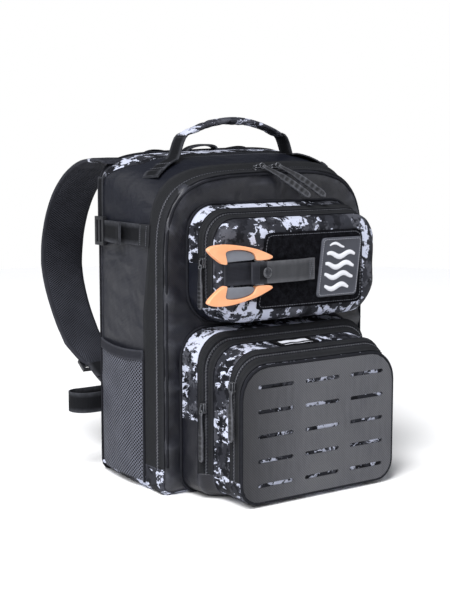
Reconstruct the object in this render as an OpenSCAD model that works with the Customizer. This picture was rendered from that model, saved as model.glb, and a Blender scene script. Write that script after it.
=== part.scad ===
// Tackle backpack: a padded clamshell pack with two zipped front pockets.
// +X is to the right seen from the front, -Y is the front, +Z is up.
// The origin is on the ground, at the middle of the main body's base.
// Outlines are drawn in the XZ plane and extruded or lofted along Y.

/* [Body] */
// Width of the body across the side panels
body_w = 292; // [280:2:300]
// Height of the arched front edge, at the main zip
front_h = 366; // [360:1:370]
// Height of the top at the back panel
back_h = 386; // [382:1:390]
// Height at which the front arch starts to lean in
spring_h = 240; // [230:5:250]
// Distance from the origin to the outer face of the back panel
back_y = 75; // [72:1:78]
// Thickness of the padded walls
wall_t = 4; // [3:0.5:5]

/* [Front pockets] */
// Width of the upper pocket
upper_w = 238; // [232:2:242]
// Height of the bottom edge of the upper pocket
upper_bottom = 196; // [195:1:198]
// Height of the upper pocket's top edge where it meets the front panel
upper_top = 328; // [325:1:332]
// Width of the lower pocket where it meets the front panel
lower_w = 246; // [240:2:250]
// Height of the lower pocket where it meets the front panel
lower_top = 189; // [186:1:192]
// Thickness of a pocket's fabric wall
fabric_t = 2.5; // [2:0.5:3]

/* [Webbing and hardware] */
// Width of the narrow webbing
webbing_w = 25; // [25:1:26]
// Thickness of the webbing
webbing_t = 1.6; // [1.4:0.1:1.8]
// Width of a shoulder strap's pad
pad_w = 60; // [56:2:62]
// Thickness of a shoulder strap's pad
pad_t = 10; // [8:1:11]
// Height of the top of the carry handle
handle_top = 426; // [422:1:430]

/* [Hidden] */

// Small overlap that lets a cutter run past a face
cut = 1;
// Thickness of the thin slices that a loft is stretched between
slice_t = 0.02;
// Thickness of one zip tape along Y, and the gap between its two tapes
tape_t = 1.4;
tape_gap = 0.3;
// Width of a zip tape across its length
tape_w = 4;
// Height at which the main zip's two ends stop
zip_end_z = 30;

// Planes along Y, from the back to the front
shell_back_y = back_y - 8;
shell_front_y = -60;
panel_rear_y = shell_front_y - 2 * tape_t - tape_gap;
panel_front_y = -back_y;
upper_zip_y = -98;
upper_front_y = -124.5;
rear_zip_y = -110;
front_zip_y = -153;
molle_back_y = -167;
molle_front_y = -169.2;

body_half = body_w / 2;
upper_half = upper_w / 2;
lower_half = lower_w / 2;
// The snips lie along X at this height, with their pivot at this X
snips_z = 254;
snips_x = -34;

// ---------- outlines ----------

function arc(cx, cz, r, from) =
    [for (a = [from : 18 : from + 90]) [cx + r * cos(a), cz + r * sin(a)]];

function rounded(half, low, high, r_low, r_high) = concat(
    arc(-half + r_low, low + r_low, r_low, 180),
    arc(half - r_low, low + r_low, r_low, 270),
    arc(half - r_high, high - r_high, r_high, 0),
    arc(-half + r_high, high - r_high, r_high, 90));

// A rectangle whose top is one superellipse arch from springing to crown
function arched(half, low, springing, high, side_power, top_power, r_low) = concat(
    arc(-half + r_low, low + r_low, r_low, 180),
    arc(half - r_low, low + r_low, r_low, 270),
    [for (t = [0 : 9 : 90])
        [half * pow(cos(t), 2 / side_power),
         springing + (high - springing) * pow(sin(t), 2 / top_power)]],
    [for (t = [81 : -9 : 0])
        [-half * pow(cos(t), 2 / side_power),
         springing + (high - springing) * pow(sin(t), 2 / top_power)]]);

// The body's front and back outlines, moved in by a distance
function front_outline(in) =
    arched(body_half - in, in, spring_h, front_h - in, 4, 4, 10);
function back_outline(in) =
    arched(body_half - 3 - in, in, 330, back_h - in, 5, 4, 14);
// The upper pocket's outline: step 0 where it meets the panel, 1 at its lid, which sits further right
function upper_outline(in, step) =
    [for (p = rounded(upper_half - 6 * step - in, upper_bottom + step + in, upper_top - 15 * step - in,
                      38 - in / 2, 34 - 6 * step - in / 2))
        [p[0] + 5 + 7 * step, p[1]]];
// The lower pocket narrows and drops towards its front face
function lower_outline(in, narrow, drop) =
    [for (p = rounded(lower_half - narrow - in, 2 + narrow / 5 + in, lower_top - drop - in,
                      22 - in / 2, 34 - in / 2))
        [p[0] + narrow / 5, p[1]]];

// ---------- shared shapes ----------

module plate(outline, y_low, y_high) {
    translate([0, y_high, 0])
        rotate([90, 0, 0])
            linear_extrude(y_high - y_low)
                polygon(outline);
}

module ring(outer, inner, y_low, y_high) {
    translate([0, y_high, 0])
        rotate([90, 0, 0])
            linear_extrude(y_high - y_low)
                difference() {
                    polygon(outer);
                    polygon(inner);
                }
}

module loft(front, y_front, back, y_back) {
    hull() {
        plate(front, y_front, y_front + slice_t);
        plate(back, y_back - slice_t, y_back);
    }
}

module box(low, high) {
    translate(low)
        cube(high - low);
}

module both_sides() {
    children();
    mirror([1, 0, 0])
        children();
}

// The body's outer surface, moved in by a distance (out where it is negative)
module body_form(in, past) {
    loft(front_outline(in), shell_front_y - past, back_outline(in), shell_back_y + past);
}

// The part of the padded shell inside a box
module shell_part(low, high) {
    difference() {
        intersection() {
            body_form(0, 0);
            box(low, high);
        }
        body_form(wall_t, cut);
    }
}

// A layer of webbing that lies on the body's surface inside a box
module surface_strip(low, high, off, thick) {
    intersection() {
        difference() {
            body_form(-off - thick, 0);
            body_form(-off, cut);
        }
        box(low, high);
    }
}

// One zip tape, or the stretch of it above a height
module zip_tape(outer, inner, y_high, above) {
    intersection() {
        ring(outer, inner, y_high - tape_t, y_high);
        box([-200, y_high - 10, above], [200, y_high + 10, 400]);
    }
}

// A zip slider on a left-hand edge: the body, and the bail that its pull hangs from
module side_slider(x, y, z) {
    slider_w = 8;
    slider_l = 11;
    box([x - 4.4, y - slider_w / 2, z], [x - 0.4, y + slider_w / 2, z + slider_l]);
}

module side_pull(x, y, z, length) {
    pull_w = 6;
    pull_t = 2.4;
    pivot_x = x - 6;
    box([pivot_x - pull_t / 2, y - pull_w / 2, z - length], [pivot_x + pull_t / 2, y + pull_w / 2, z]);
}

// ---------- main body ----------

module back_panel() {
    color("#26272d")
        plate(back_outline(0), shell_back_y, back_y);
}

module frame_sheet() {
    color("#1c1c1e")
        plate(rounded(118, 16, 352, 24, 40), shell_back_y - 2.4, shell_back_y - 0.2);
}

// Lining that holds the frame sheet against the back panel
module frame_sleeve() {
    face_y = shell_back_y - 4;
    color("#3a3b42")
        union() {
            plate(rounded(126, 12, 356, 24, 44), face_y, face_y + 1.4);
            ring(rounded(126, 12, 356, 24, 44), rounded(121, 14, 354, 22, 42),
                 face_y, shell_back_y);
        }
}

module back_padding() {
    color("#2a2b30")
        both_sides()
            translate([45, 0, 0])
                plate(rounded(32, 60, 345, 20, 20), back_y, back_y + 9);
}

module left_side_panel() {
    color("#2f3036")
        shell_part([-160, -100, 14], [0, 100, 300]);
}

module right_side_panel() {
    color("#2f3036")
        mirror([1, 0, 0])
            shell_part([-160, -100, 14], [0, 100, 300]);
}

module top_panel() {
    color("#7c7f8a")
        shell_part([-160, -100, 300], [160, 100, 420]);
}

module bottom_panel() {
    color("#7c7f8a")
        shell_part([-160, -100, -1], [160, 100, 14]);
}

module main_zip_rear_tape() {
    color("#1a1a1d")
        zip_tape(front_outline(0), front_outline(tape_w), shell_front_y, zip_end_z);
}

// Stretch mesh pocket on the left side, open at the top
module mesh_pocket() {
    depth = 9;
    top_z = 160;
    wall = 1.2;
    color("#34353b")
        difference() {
            box([-body_half - depth, -34, 6], [-body_half - 0.1, 64, top_z]);
            box([-body_half - depth + wall, -34 + wall, 6 + wall],
                [-body_half + cut, 64 - wall, top_z + cut]);
        }
}

// Zipped pocket on the right side, with its mouth as a slot in the outer face
module right_side_pocket() {
    depth = 20;
    wall = 2;
    slot_z = 222;
    color("#7c7f8a")
        difference() {
            hull() {
                box([body_half + 0.1, -56, 8], [body_half + 0.3, 58, 258]);
                box([body_half + depth - 1, -44, 24], [body_half + depth, 46, 236]);
            }
            hull() {
                box([body_half + wall, -52, 12], [body_half + wall + 0.2, 54, 254]);
                box([body_half + depth - wall - 1, -41, 27], [body_half + depth - wall, 43, 233]);
            }
            box([body_half + depth - wall - cut, -36, slot_z], [body_half + depth + cut, 38, slot_z + 7]);
        }
}

// Side straps, each with a loose tail that lies over the strap
module compression_straps() {
    low_z = 281;
    high_z = low_z + webbing_w;
    color("#222327")
        both_sides()
            union() {
                surface_strip([-170, -36, low_z], [0, shell_back_y - 1, high_z], 0.1, webbing_t);
                surface_strip([-170, 0, low_z + 0.3], [0, 49, high_z - 0.3], webbing_t, webbing_t + 0.1);
            }
}

module compression_ladder_locks() {
    near_x = body_half - 0.4;
    bar = 4;
    color("#3c3d42")
        both_sides()
            difference() {
                box([near_x, 50, 276], [near_x + 5, 70, 310]);
                box([near_x - cut, 50 + bar, 280], [near_x + 5 + cut, 58, 306]);
                box([near_x - cut, 62, 280], [near_x + 5 + cut, 70 - bar, 306]);
            }
}

// Webbing feet of the carry handle, sewn over the shoulders of the top
module handle_anchors() {
    color("#222327")
        both_sides()
            surface_strip([-128, -13, 330], [-74, 13, 400], 0.1, webbing_t);
}

// Padded yoke across the top of the back, between the roots of the shoulder straps
module strap_yoke() {
    color("#26272d")
        plate(rounded(86, 349, back_h, 12, 16), back_y + 0.2, back_y + 10);
}

// Short loop of webbing that stands on the back panel's top edge
module hang_loop() {
    reach = 22;
    rise = 8;
    color("#1f2024")
        translate([0, back_y - 0.5, back_h + 0.1])
            rotate([90, 0, 0])
                linear_extrude(7)
                    intersection() {
                        difference() {
                            scale([reach, rise])
                                circle(1, $fn = 64);
                            scale([reach - webbing_t, rise - webbing_t])
                                circle(1, $fn = 64);
                        }
                        translate([-reach - 1, 0])
                            square([2 * reach + 2, rise + 1]);
                    }
}

// Hip belt of narrow webbing: it leaves the back panel, turns and runs to its buckle
back_run_y = back_y + 0.9;
turn_r = 19;
buckle_y = back_run_y + 2 * turn_r;

module hip_belt() {
    low_z = 70;
    turn_x = 154;
    color("#1f2024")
        both_sides()
            translate([0, 0, low_z])
                linear_extrude(webbing_w)
                    difference() {
                        union() {
                            translate([108, back_run_y - webbing_t / 2])
                                square([turn_x - 108, webbing_t]);
                            translate([31, buckle_y - webbing_t / 2])
                                square([turn_x - 31, webbing_t]);
                            translate([turn_x, back_run_y + turn_r])
                                circle(turn_r + webbing_t / 2, $fn = 48);
                        }
                        translate([turn_x, back_run_y + turn_r])
                            circle(turn_r - webbing_t / 2, $fn = 48);
                        translate([100, back_run_y + webbing_t / 2])
                            square([turn_x - 100, 2 * turn_r - webbing_t]);
                    }
}

module hip_buckle_socket() {
    y = buckle_y;
    color("#18181a")
        difference() {
            box([-30.5, y - 6, 66], [6, y + 6, 99]);
            box([-14, y - 3.5, 70], [6 + cut, y + 3.5, 95]);
            box([-28, y - 7, 70], [-24, y + 7, 95]);
            box([-10, y - 7, 62], [0, y + 7, 74]);
            box([-10, y - 7, 91], [0, y + 7, 103]);
        }
}

module hip_buckle_plug() {
    y = buckle_y;
    color("#18181a")
        difference() {
            union() {
                box([7, y - 6, 66], [30.5, y + 6, 99]);
                for (z = [70.5, 81, 89.5])
                    box([-12, y - 2.8, z], [8, y + 2.8, z + 5]);
            }
            box([20, y - 7, 70], [24, y + 7, 95]);
        }
}

// ---------- clamshell front ----------

module front_panel() {
    rim_in = 5;
    color("#303138")
        union() {
            plate(front_outline(rim_in), panel_front_y, panel_front_y + wall_t);
            ring(front_outline(0.4), front_outline(rim_in + wall_t),
                 panel_front_y + wall_t - 0.01, panel_rear_y);
        }
}

module main_zip_front_tape() {
    color("#1a1a1d")
        zip_tape(front_outline(0), front_outline(tape_w), panel_rear_y + tape_t, zip_end_z);
}

module top_slider(x) {
    color("#2a2b2f")
        box([x - 6, panel_rear_y - 9, front_h + 0.7], [x + 6, shell_front_y - 0.5, front_h + 5]);
}

// A long moulded pull that lies down the front, leaning to the right
module top_pull(x) {
    pull_r = 2.4;
    tip_r = 3.8;
    pivot = [x, panel_front_y - 0.5, front_h + 3];
    color("#1d1e22")
        hull() {
            translate(pivot)
                sphere(pull_r, $fn = 16);
            translate(pivot + [50, -24, -35])
                sphere(tip_r, $fn = 16);
        }
}

module main_zip_slider_left() {
    top_slider(-9);
}

module main_zip_slider_right() {
    top_slider(14);
}

module main_zip_pull_left() {
    top_pull(-9);
}

module main_zip_pull_right() {
    top_pull(14);
}

// ---------- upper pocket ----------

module upper_pocket_base() {
    color("#7c7f8a")
        difference() {
            loft(upper_outline(0, 0.5), upper_zip_y, upper_outline(0, 0), panel_front_y);
            loft(upper_outline(fabric_t, 0.5), upper_zip_y - cut,
                 upper_outline(fabric_t, 0), panel_front_y + cut);
        }
}

module upper_zip_rear_tape() {
    color("#1a1a1d")
        zip_tape(upper_outline(0, 0.5), upper_outline(tape_w, 0.5), upper_zip_y, upper_bottom + 18);
}

module upper_zip_front_tape() {
    color("#1a1a1d")
        zip_tape(upper_outline(0, 0.5), upper_outline(tape_w, 1),
                 upper_zip_y - tape_t - tape_gap, upper_bottom + 18);
}

// Moulded lid: straight sides, then a bevel to a smaller front face
module upper_pocket_lid() {
    back = upper_zip_y - 2 * tape_t - tape_gap;
    bevel_y = -113;
    color("#7c7f8a")
        difference() {
            hull() {
                plate(upper_outline(0, 1), bevel_y, back);
                plate(upper_outline(13, 1), upper_front_y, upper_front_y + slice_t);
            }
            hull() {
                plate(upper_outline(3, 1), bevel_y, back + cut);
                plate(upper_outline(15, 1), upper_front_y + 3, upper_front_y + 3 + slice_t);
            }
        }
}

module upper_zip_slider() {
    color("#2a2b2f")
        side_slider(10.3 - upper_half, upper_zip_y - 1.5, 260);
}

module upper_zip_pull() {
    color("#1d1e22")
        side_pull(10.3 - upper_half, upper_zip_y - 1.5, 259, 38);
}

// Hook-and-loop field on the lid, with a tongue that runs under the snips
module loop_panel() {
    color("#101013")
        translate([0, upper_front_y - 0.1, 0])
            rotate([90, 0, 0])
                linear_extrude(2)
                    union() {
                        polygon([[-55, 212], [93, 211], [98, 217], [99, 292], [95, 297],
                                 [-42, 297], [-44, 285]]);
                        translate([-97, 241])
                            square([60, 26]);
                    }
}

loop_front_y = upper_front_y - 2.1;

// Webbing sleeve for the snips: open at its left end, sewn down at its right end
module snips_sleeve() {
    mouth_x = -66;
    end_x = 24;
    low_z = snips_z - webbing_w / 2;
    room = 5;
    color("#2c2d31")
        union() {
            box([mouth_x, loop_front_y - room - webbing_t, low_z],
                [end_x, loop_front_y - room, low_z + webbing_w]);
            box([end_x - 8, loop_front_y - room - 0.01, low_z],
                [end_x, loop_front_y - 0.1, low_z + webbing_w]);
        }
}

// Rubber patch, whose sides lean to the right towards the top
module patch() {
    lean = 0.122;
    mid = [62, 254];
    color("#3c3e45")
        plate([for (p = rounded(29.3, 220, 288, 4, 4)) [mid[0] + p[0] + lean * (p[1] - mid[1]), p[1]]],
              loop_front_y - 3, loop_front_y - 0.2);
}

// The two levers lie face to face, the upper grip's nearer the lid
upper_lever_y = loop_front_y - 0.5;
lower_lever_y = loop_front_y - 2.1;

// Flat lever: a tapered blade past the pivot and a tang towards the grip
module snips_lever(tang_up, y_high) {
    blade_l = 44;
    pin_r = 2;
    translate([snips_x, y_high, snips_z])
        rotate([90, 0, 0])
            linear_extrude(1.5)
                mirror([0, tang_up ? 0 : 1, 0])
                    difference() {
                        union() {
                            circle(5, $fn = 32);
                            polygon([[0, -3.5], [blade_l, -0.6], [blade_l, 0.6], [0, 3.5]]);
                            polygon([[3, 4], [-26, 19.5], [-26, 13.5], [-1, -4]]);
                        }
                        circle(pin_r + 0.05, $fn = 32);
                    }
}

// Moulded grip: a bow over the finger pad, with a guard at its free end
module snips_grip(up) {
    thick = 7;
    color("#f58a50")
        translate([0, loop_front_y - 0.3, snips_z])
            rotate([90, 0, 0])
                linear_extrude(thick)
                    polygon([for (p = [
                        [-125, 28.5], [-121, 31.5], [-106, 33.5], [-82, 31.5], [-58, 26.5], [-46, 21.5],
                        [-38, 17.5], [-43, 14.5], [-61, 13.6], [-62, 14.8], [-66, 20.5], [-84, 24], [-102, 24],
                        [-98, 12.5], [-105, 12], [-115, 18.5]]) [p[0], p[1] * up]]);
}

module snips_upper_lever() {
    color("#b9bcc2")
        snips_lever(true, upper_lever_y);
}

module snips_lower_lever() {
    color("#b9bcc2")
        snips_lever(false, lower_lever_y);
}

module snips_upper_grip() {
    snips_grip_cut(1, upper_lever_y);
}

module snips_lower_grip() {
    snips_grip_cut(-1, lower_lever_y);
}

// A grip with the pocket that its own lever's tang is moulded into
module snips_grip_cut(up, y_high) {
    difference() {
        snips_grip(up);
        translate([snips_x, y_high + 0.05, snips_z])
            rotate([90, 0, 0])
                linear_extrude(1.6)
                    polygon([[-1, -4 * up], [-26.1, 13.4 * up], [-26.1, 19.6 * up], [3, 4.1 * up]]);
    }
}

module snips_pivot_pin() {
    color("#d4d6da")
        translate([snips_x, loop_front_y - 0.4, snips_z])
            rotate([90, 0, 0])
                cylinder(h = 3.4, r = 2, $fn = 32);
}

// ---------- lower pocket ----------

module lower_pocket_base() {
    color("#7c7f8a")
        difference() {
            loft(lower_outline(0, 4, 3), rear_zip_y, lower_outline(0, 0, 0), panel_front_y);
            loft(lower_outline(fabric_t, 4, 3), rear_zip_y - cut,
                 lower_outline(fabric_t, 0, 0), panel_front_y + cut);
        }
}

module rear_zip_rear_tape() {
    color("#1a1a1d")
        zip_tape(lower_outline(0, 4, 3), lower_outline(tape_w, 4, 3), rear_zip_y, zip_end_z);
}

module rear_zip_front_tape() {
    color("#1a1a1d")
        zip_tape(lower_outline(0, 4, 3), lower_outline(tape_w, 12, 15),
                 rear_zip_y - tape_t - tape_gap, zip_end_z);
}

middle_back_y = rear_zip_y - 2 * tape_t - tape_gap;

// Outer form of the section between the lower pocket's two zips
module middle_form(in, past) {
    loft(lower_outline(in, 15, 19), front_zip_y - past, lower_outline(in, 12, 15), middle_back_y + past);
}

// The section between the two zips, with the wall that parts the compartments
module middle_section() {
    divider_t = 1.5;
    color("#7c7f8a")
        union() {
            difference() {
                middle_form(0, 0);
                middle_form(fabric_t, cut);
            }
            plate(lower_outline(fabric_t - 0.4, 12.4, 15.5),
                  middle_back_y - 3 - divider_t, middle_back_y - 3);
        }
}

// Blank woven label on top of the middle section
module woven_label() {
    color("#0e0e10")
        intersection() {
            difference() {
                middle_form(-1, 0);
                middle_form(-0.1, cut);
            }
            box([-36, -146, 160], [20, -130, 200]);
        }
}

module front_zip_rear_tape() {
    color("#1a1a1d")
        zip_tape(lower_outline(0, 15, 19), lower_outline(tape_w, 15, 19), front_zip_y, zip_end_z);
}

module front_zip_front_tape() {
    color("#1a1a1d")
        zip_tape(lower_outline(0, 15, 19), lower_outline(tape_w, 15, 24),
                 front_zip_y - tape_t - tape_gap, zip_end_z);
}

module rear_zip_slider() {
    color("#2a2b2f")
        side_slider(-lower_half + 4.6, middle_back_y + 1.5, 100);
}

module rear_zip_pull() {
    color("#1d1e22")
        side_pull(-lower_half + 4.6, middle_back_y + 1.5, 99, 55);
}

module front_zip_slider() {
    color("#2a2b2f")
        side_slider(-lower_half + 17.8, front_zip_y - 1.5, 130);
}

module front_zip_pull() {
    color("#1d1e22")
        side_pull(-lower_half + 17.8, front_zip_y - 1.5, 129, 55);
}

// Camouflage backing of the front lid, a shallow tray
module molle_lid() {
    back = front_zip_y - 2 * tape_t - tape_gap;
    color("#7c7f8a")
        difference() {
            loft(lower_outline(0, 15, 32), molle_back_y, lower_outline(0, 15, 24), back);
            loft(lower_outline(fabric_t, 15, 32), molle_back_y + 2,
                 lower_outline(fabric_t, 15, 24), back + cut);
        }
}

// Grey face cut with rows of slots for clip-on gear
module molle_panel() {
    rows = 5;
    row_pitch = 27.5;
    low_row_z = 24;
    slot_h = 4.6;
    slot_l = 49;
    slot_pitch = 65.5;
    slot_mid = 6;
    color("#55565c")
        translate([0, molle_back_y - 0.1, 0])
            rotate([90, 0, 0])
                linear_extrude(molle_back_y - 0.1 - molle_front_y)
                    difference() {
                        polygon(lower_outline(1, 15, 33));
                        for (row = [0 : rows - 1], column = [-1 : 1])
                            translate([slot_mid + column * slot_pitch, low_row_z + row * row_pitch])
                                union() {
                                    square([slot_l - slot_h, slot_h], center = true);
                                    for (end = [-1, 1])
                                        translate([end * (slot_l - slot_h) / 2, 0])
                                            circle(slot_h / 2, $fn = 24);
                                }
                    }
}

// ---------- carry handle ----------

// The legs of the handle, from just above its feet to the ends of the grip
module handle_webbing() {
    foot_x = 81;
    foot_z = 390;
    knee_x = 72;
    knee_z = 408;
    color("#222327")
        both_sides()
            translate([0, webbing_w / 2, 0])
                rotate([90, 0, 0])
                    linear_extrude(webbing_w)
                        polygon([[foot_x, foot_z], [foot_x + 3, foot_z], [knee_x + 1.5, knee_z + 1],
                                 [knee_x - 1.5, knee_z - 1]]);
}

// Camouflage cloth folded over the webbing, bowed up to the middle
module handle_grip() {
    end_x = 70;
    rise = 17;
    thick = 6;
    grip_w = 20;
    low = handle_top - thick;
    function bow(x) = low - rise * pow(x / end_x, 2);
    color("#7c7f8a")
        translate([0, grip_w / 2, 0])
            rotate([90, 0, 0])
                linear_extrude(grip_w)
                    polygon(concat(
                        [for (x = [-end_x : 10 : end_x]) [x, bow(x)]],
                        [for (x = [end_x : -10 : -end_x]) [x, bow(x) + thick]]));
}

// ---------- shoulder straps ----------

// Centre line of a strap in the YZ plane: a round upper half, a straighter lower half
strap_reach = 141;
strap_mid_z = 240;
function strap_point(t, out) =
    let (p = t >= 0 ? 1 : 2 / 1.55)
    [back_y + (strap_reach + out) * pow(cos(t), p),
     strap_mid_z + (t >= 0 ? 1 : -1) * ((t >= 0 ? 136 : 140) + out) * pow(abs(sin(t)), p)];

// A band of constant width that follows the strap's line from one angle to another
module strap_band(from, to, thick, width, x_mid, out) {
    steps = 24;
    ts = [for (i = [0 : steps]) from + (to - from) * i / steps];
    translate([x_mid - width / 2, 0, 0])
        rotate([90, 0, 90])
            linear_extrude(width)
                polygon(concat(
                    [for (t = ts) strap_point(t, out - thick / 2)],
                    [for (i = [steps : -1 : 0]) strap_point(ts[i], out + thick / 2)]));
}

strap_x = 120;

module strap_pad() {
    color("#26272d")
        strap_band(-62, 84, pad_t, pad_w, -strap_x, 0);
}

module strap_webbing() {
    color("#1f2024")
        strap_band(-83, -62.5, webbing_t, webbing_w, -strap_x, 0);
}

// Ladder lock sewn to the tip of the pad, standing off its outer face
module ladder_lock() {
    near = strap_point(-60, 5.6);
    ahead = strap_point(-59, 5.6);
    slope = atan2(ahead[1] - near[1], ahead[0] - near[0]);
    color("#18181a")
        translate([-strap_x, near[0], near[1]])
            rotate([slope + 180, 0, 0])
                difference() {
                    box([-17, -9, 0], [17, 9, 4]);
                    box([-13, -6, -cut], [13, -1.5, 4 + cut]);
                    box([-13, 1.5, -cut], [13, 6, 4 + cut]);
                }
}

module left_strap_pad() {
    strap_pad();
}

module left_strap_webbing() {
    strap_webbing();
}

module left_ladder_lock() {
    ladder_lock();
}

module right_strap_pad() {
    mirror([1, 0, 0])
        strap_pad();
}

module right_strap_webbing() {
    mirror([1, 0, 0])
        strap_webbing();
}

module right_ladder_lock() {
    mirror([1, 0, 0])
        ladder_lock();
}

back_panel();
frame_sheet();
frame_sleeve();
back_padding();
left_side_panel();
right_side_panel();
top_panel();
bottom_panel();
main_zip_rear_tape();
mesh_pocket();
right_side_pocket();
compression_straps();
compression_ladder_locks();
handle_anchors();
strap_yoke();
hang_loop();
hip_belt();
hip_buckle_socket();
hip_buckle_plug();
front_panel();
main_zip_front_tape();
main_zip_slider_left();
main_zip_slider_right();
main_zip_pull_left();
main_zip_pull_right();
upper_pocket_base();
upper_zip_rear_tape();
upper_pocket_lid();
upper_zip_front_tape();
upper_zip_slider();
upper_zip_pull();
loop_panel();
snips_sleeve();
patch();
snips_lower_lever();
snips_lower_grip();
snips_upper_lever();
snips_upper_grip();
snips_pivot_pin();
lower_pocket_base();
rear_zip_rear_tape();
middle_section();
rear_zip_front_tape();
rear_zip_slider();
rear_zip_pull();
woven_label();
front_zip_rear_tape();
front_zip_front_tape();
front_zip_slider();
front_zip_pull();
molle_lid();
molle_panel();
handle_webbing();
handle_grip();
left_strap_pad();
left_strap_webbing();
left_ladder_lock();
right_strap_pad();
right_strap_webbing();
right_ladder_lock();
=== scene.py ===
"""Tackle backpack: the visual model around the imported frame.

Lengths here are millimetres; MM turns them into metres when a mesh is made.
+X is right seen from the front, -Y is the front, +Z is up.
"""
import math

import bmesh
import bpy
import numpy as np
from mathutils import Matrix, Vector, noise


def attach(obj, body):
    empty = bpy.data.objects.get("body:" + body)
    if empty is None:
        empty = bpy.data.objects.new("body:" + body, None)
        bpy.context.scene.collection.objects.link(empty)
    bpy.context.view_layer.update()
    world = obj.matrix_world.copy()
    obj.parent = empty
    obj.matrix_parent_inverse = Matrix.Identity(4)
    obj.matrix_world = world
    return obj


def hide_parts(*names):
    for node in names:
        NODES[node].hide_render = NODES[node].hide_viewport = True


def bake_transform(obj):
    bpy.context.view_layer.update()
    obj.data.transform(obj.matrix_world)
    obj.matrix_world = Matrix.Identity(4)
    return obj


MM = 0.001
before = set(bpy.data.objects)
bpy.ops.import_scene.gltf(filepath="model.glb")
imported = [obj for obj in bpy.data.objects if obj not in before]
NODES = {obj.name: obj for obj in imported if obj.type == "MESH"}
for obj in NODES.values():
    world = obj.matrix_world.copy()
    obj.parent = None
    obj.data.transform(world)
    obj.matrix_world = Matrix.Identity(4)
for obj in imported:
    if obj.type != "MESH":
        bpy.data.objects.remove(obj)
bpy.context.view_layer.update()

# ---------- planes and sizes shared with the CAD ----------

SHELL_BACK_Y = 67
SHELL_FRONT_Y = -60
BACK_Y = 75
UPPER_ZIP_Y = -98
REAR_ZIP_Y = -110
FRONT_ZIP_Y = -153
ZIP_SPAN = 3.1
SNIPS_Z = 254
STRAP_X = 120
# How much the soft top rises per unit of X, and how near the ground a piece may come
SLOUCH = 0.03
FLOOR_GAP = 0.15


# ---------- outlines in the XZ plane, anticlockwise seen from the front ----------

def share(value, start, end):
    """How far a value has come from start (0) to end (1), held between the two."""
    return min(max((value - start) / (end - start), 0), 1)


def arc(cx, cz, r, start):
    """A quarter circle from a start angle in degrees."""
    a = np.radians(np.linspace(start, start + 90, 9))
    return np.stack([cx + r * np.cos(a), cz + r * np.sin(a)], 1)


def rounded(half, low, high, r_low, r_high):
    """A box with its own corner radius at the bottom and at the top."""
    return np.concatenate([
        arc(-half + r_low, low + r_low, r_low, 180),
        arc(half - r_low, low + r_low, r_low, 270),
        arc(half - r_high, high - r_high, r_high, 0),
        arc(-half + r_high, high - r_high, r_high, 90),
    ])


def arched(half, low, spring, high, side_power, top_power, r_low):
    """A box whose top is half a superellipse that starts at the spring height."""
    t = np.radians(np.linspace(0, 90, 31))
    x = half * np.cos(t).clip(0) ** (2 / side_power)
    z = spring + (high - spring) * np.sin(t) ** (2 / top_power)
    right = np.stack([x, z], 1)
    left = np.stack([-x[::-1], z[::-1]], 1)[1:]
    return np.concatenate([
        arc(-half + r_low, low + r_low, r_low, 180),
        arc(half - r_low, low + r_low, r_low, 270),
        right,
        left,
    ])


def slouched(loop):
    """The soft top stands a little higher on its right."""
    rise = np.clip((loop[:, 1] - 280) / 90, 0, 1)
    return np.stack([loop[:, 0], loop[:, 1] + SLOUCH * loop[:, 0] * rise], 1)


def front_outline(inset=0.0):
    """The body where its front panel closes on it."""
    return slouched(arched(146 - inset, inset, 240, 366 - inset, 4, 4, 10))


def back_outline():
    """The body at its back, which is taller and squarer."""
    return slouched(arched(143, 0, 330, 386, 5, 4, 14))


def upper_outline(inset, step):
    """The upper pocket where it meets the panel (step 0) up to its lid (step 1), further right."""
    loop = rounded(119 - 6 * step - inset, 196 + step + inset, 328 - 15 * step - inset,
                   38 - inset / 2, 34 - 6 * step - inset / 2)
    return loop + np.array([5 + 7 * step, 0])


def lower_outline(inset, narrow=0.0, drop=0.0):
    """The lower pocket, made narrower, and lower at its top, towards its front."""
    loop = rounded(123 - narrow - inset, 2 + narrow / 5 + inset, 189 - drop - inset,
                   22 - inset / 2, 34 - inset / 2)
    return loop + np.array([narrow / 5, 0])


def resample(path, count, closed=False):
    """Evenly spaced points along a path; a closed path's first point isn't repeated."""
    p = np.asarray(path, float)
    if closed:
        p = np.vstack([p, p[:1]])
    step = np.linalg.norm(np.diff(p, axis=0), axis=1)
    s = np.concatenate([[0], np.cumsum(step)])
    want = np.linspace(0, s[-1], count, endpoint=not closed)
    return np.stack([np.interp(want, s, p[:, k]) for k in range(p.shape[1])], 1)


def from_bottom(loop, count):
    """A closed loop resampled so that its first point is the middle of the bottom edge."""
    p = resample(loop, 3000, True)
    low = np.where(p[:, 1] < p[:, 1].min() + 0.3, np.abs(p[:, 0]), 1e9)
    k = int(low.argmin())
    return resample(np.roll(p, -k, axis=0), count, True)


def above(loop, z, count):
    """The stretch of a loop above a height, from its right end over the top to its left end."""
    p = from_bottom(loop, 3000)
    return resample(p[p[:, 1] >= z], count)


def below(loop, z, count):
    """The stretch of a loop below a height, from its left end along the bottom to its right end."""
    p = from_bottom(loop, 3000)
    under = p[:, 1] <= z
    first = int(np.argmin(under))
    last = len(p) - int(np.argmin(under[::-1]))
    return resample(np.concatenate([p[last:], p[:first]]), count)


def lift(loop, y):
    """Outline points put at a plane along Y, or each at its own Y."""
    loop = np.asarray(loop, float)
    ys = np.broadcast_to(np.asarray(y, float), (len(loop),))
    return np.stack([loop[:, 0], ys, loop[:, 1]], 1)


def inset_loop(loop, d):
    """A loop drawn in towards its middle by a distance, keeping its count of points."""
    low, high = loop.min(0), loop.max(0)
    mid, half = (low + high) / 2, (high - low) / 2
    return mid + (loop - mid) * (half - d) / half


# ---------- the body's surface ----------

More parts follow.
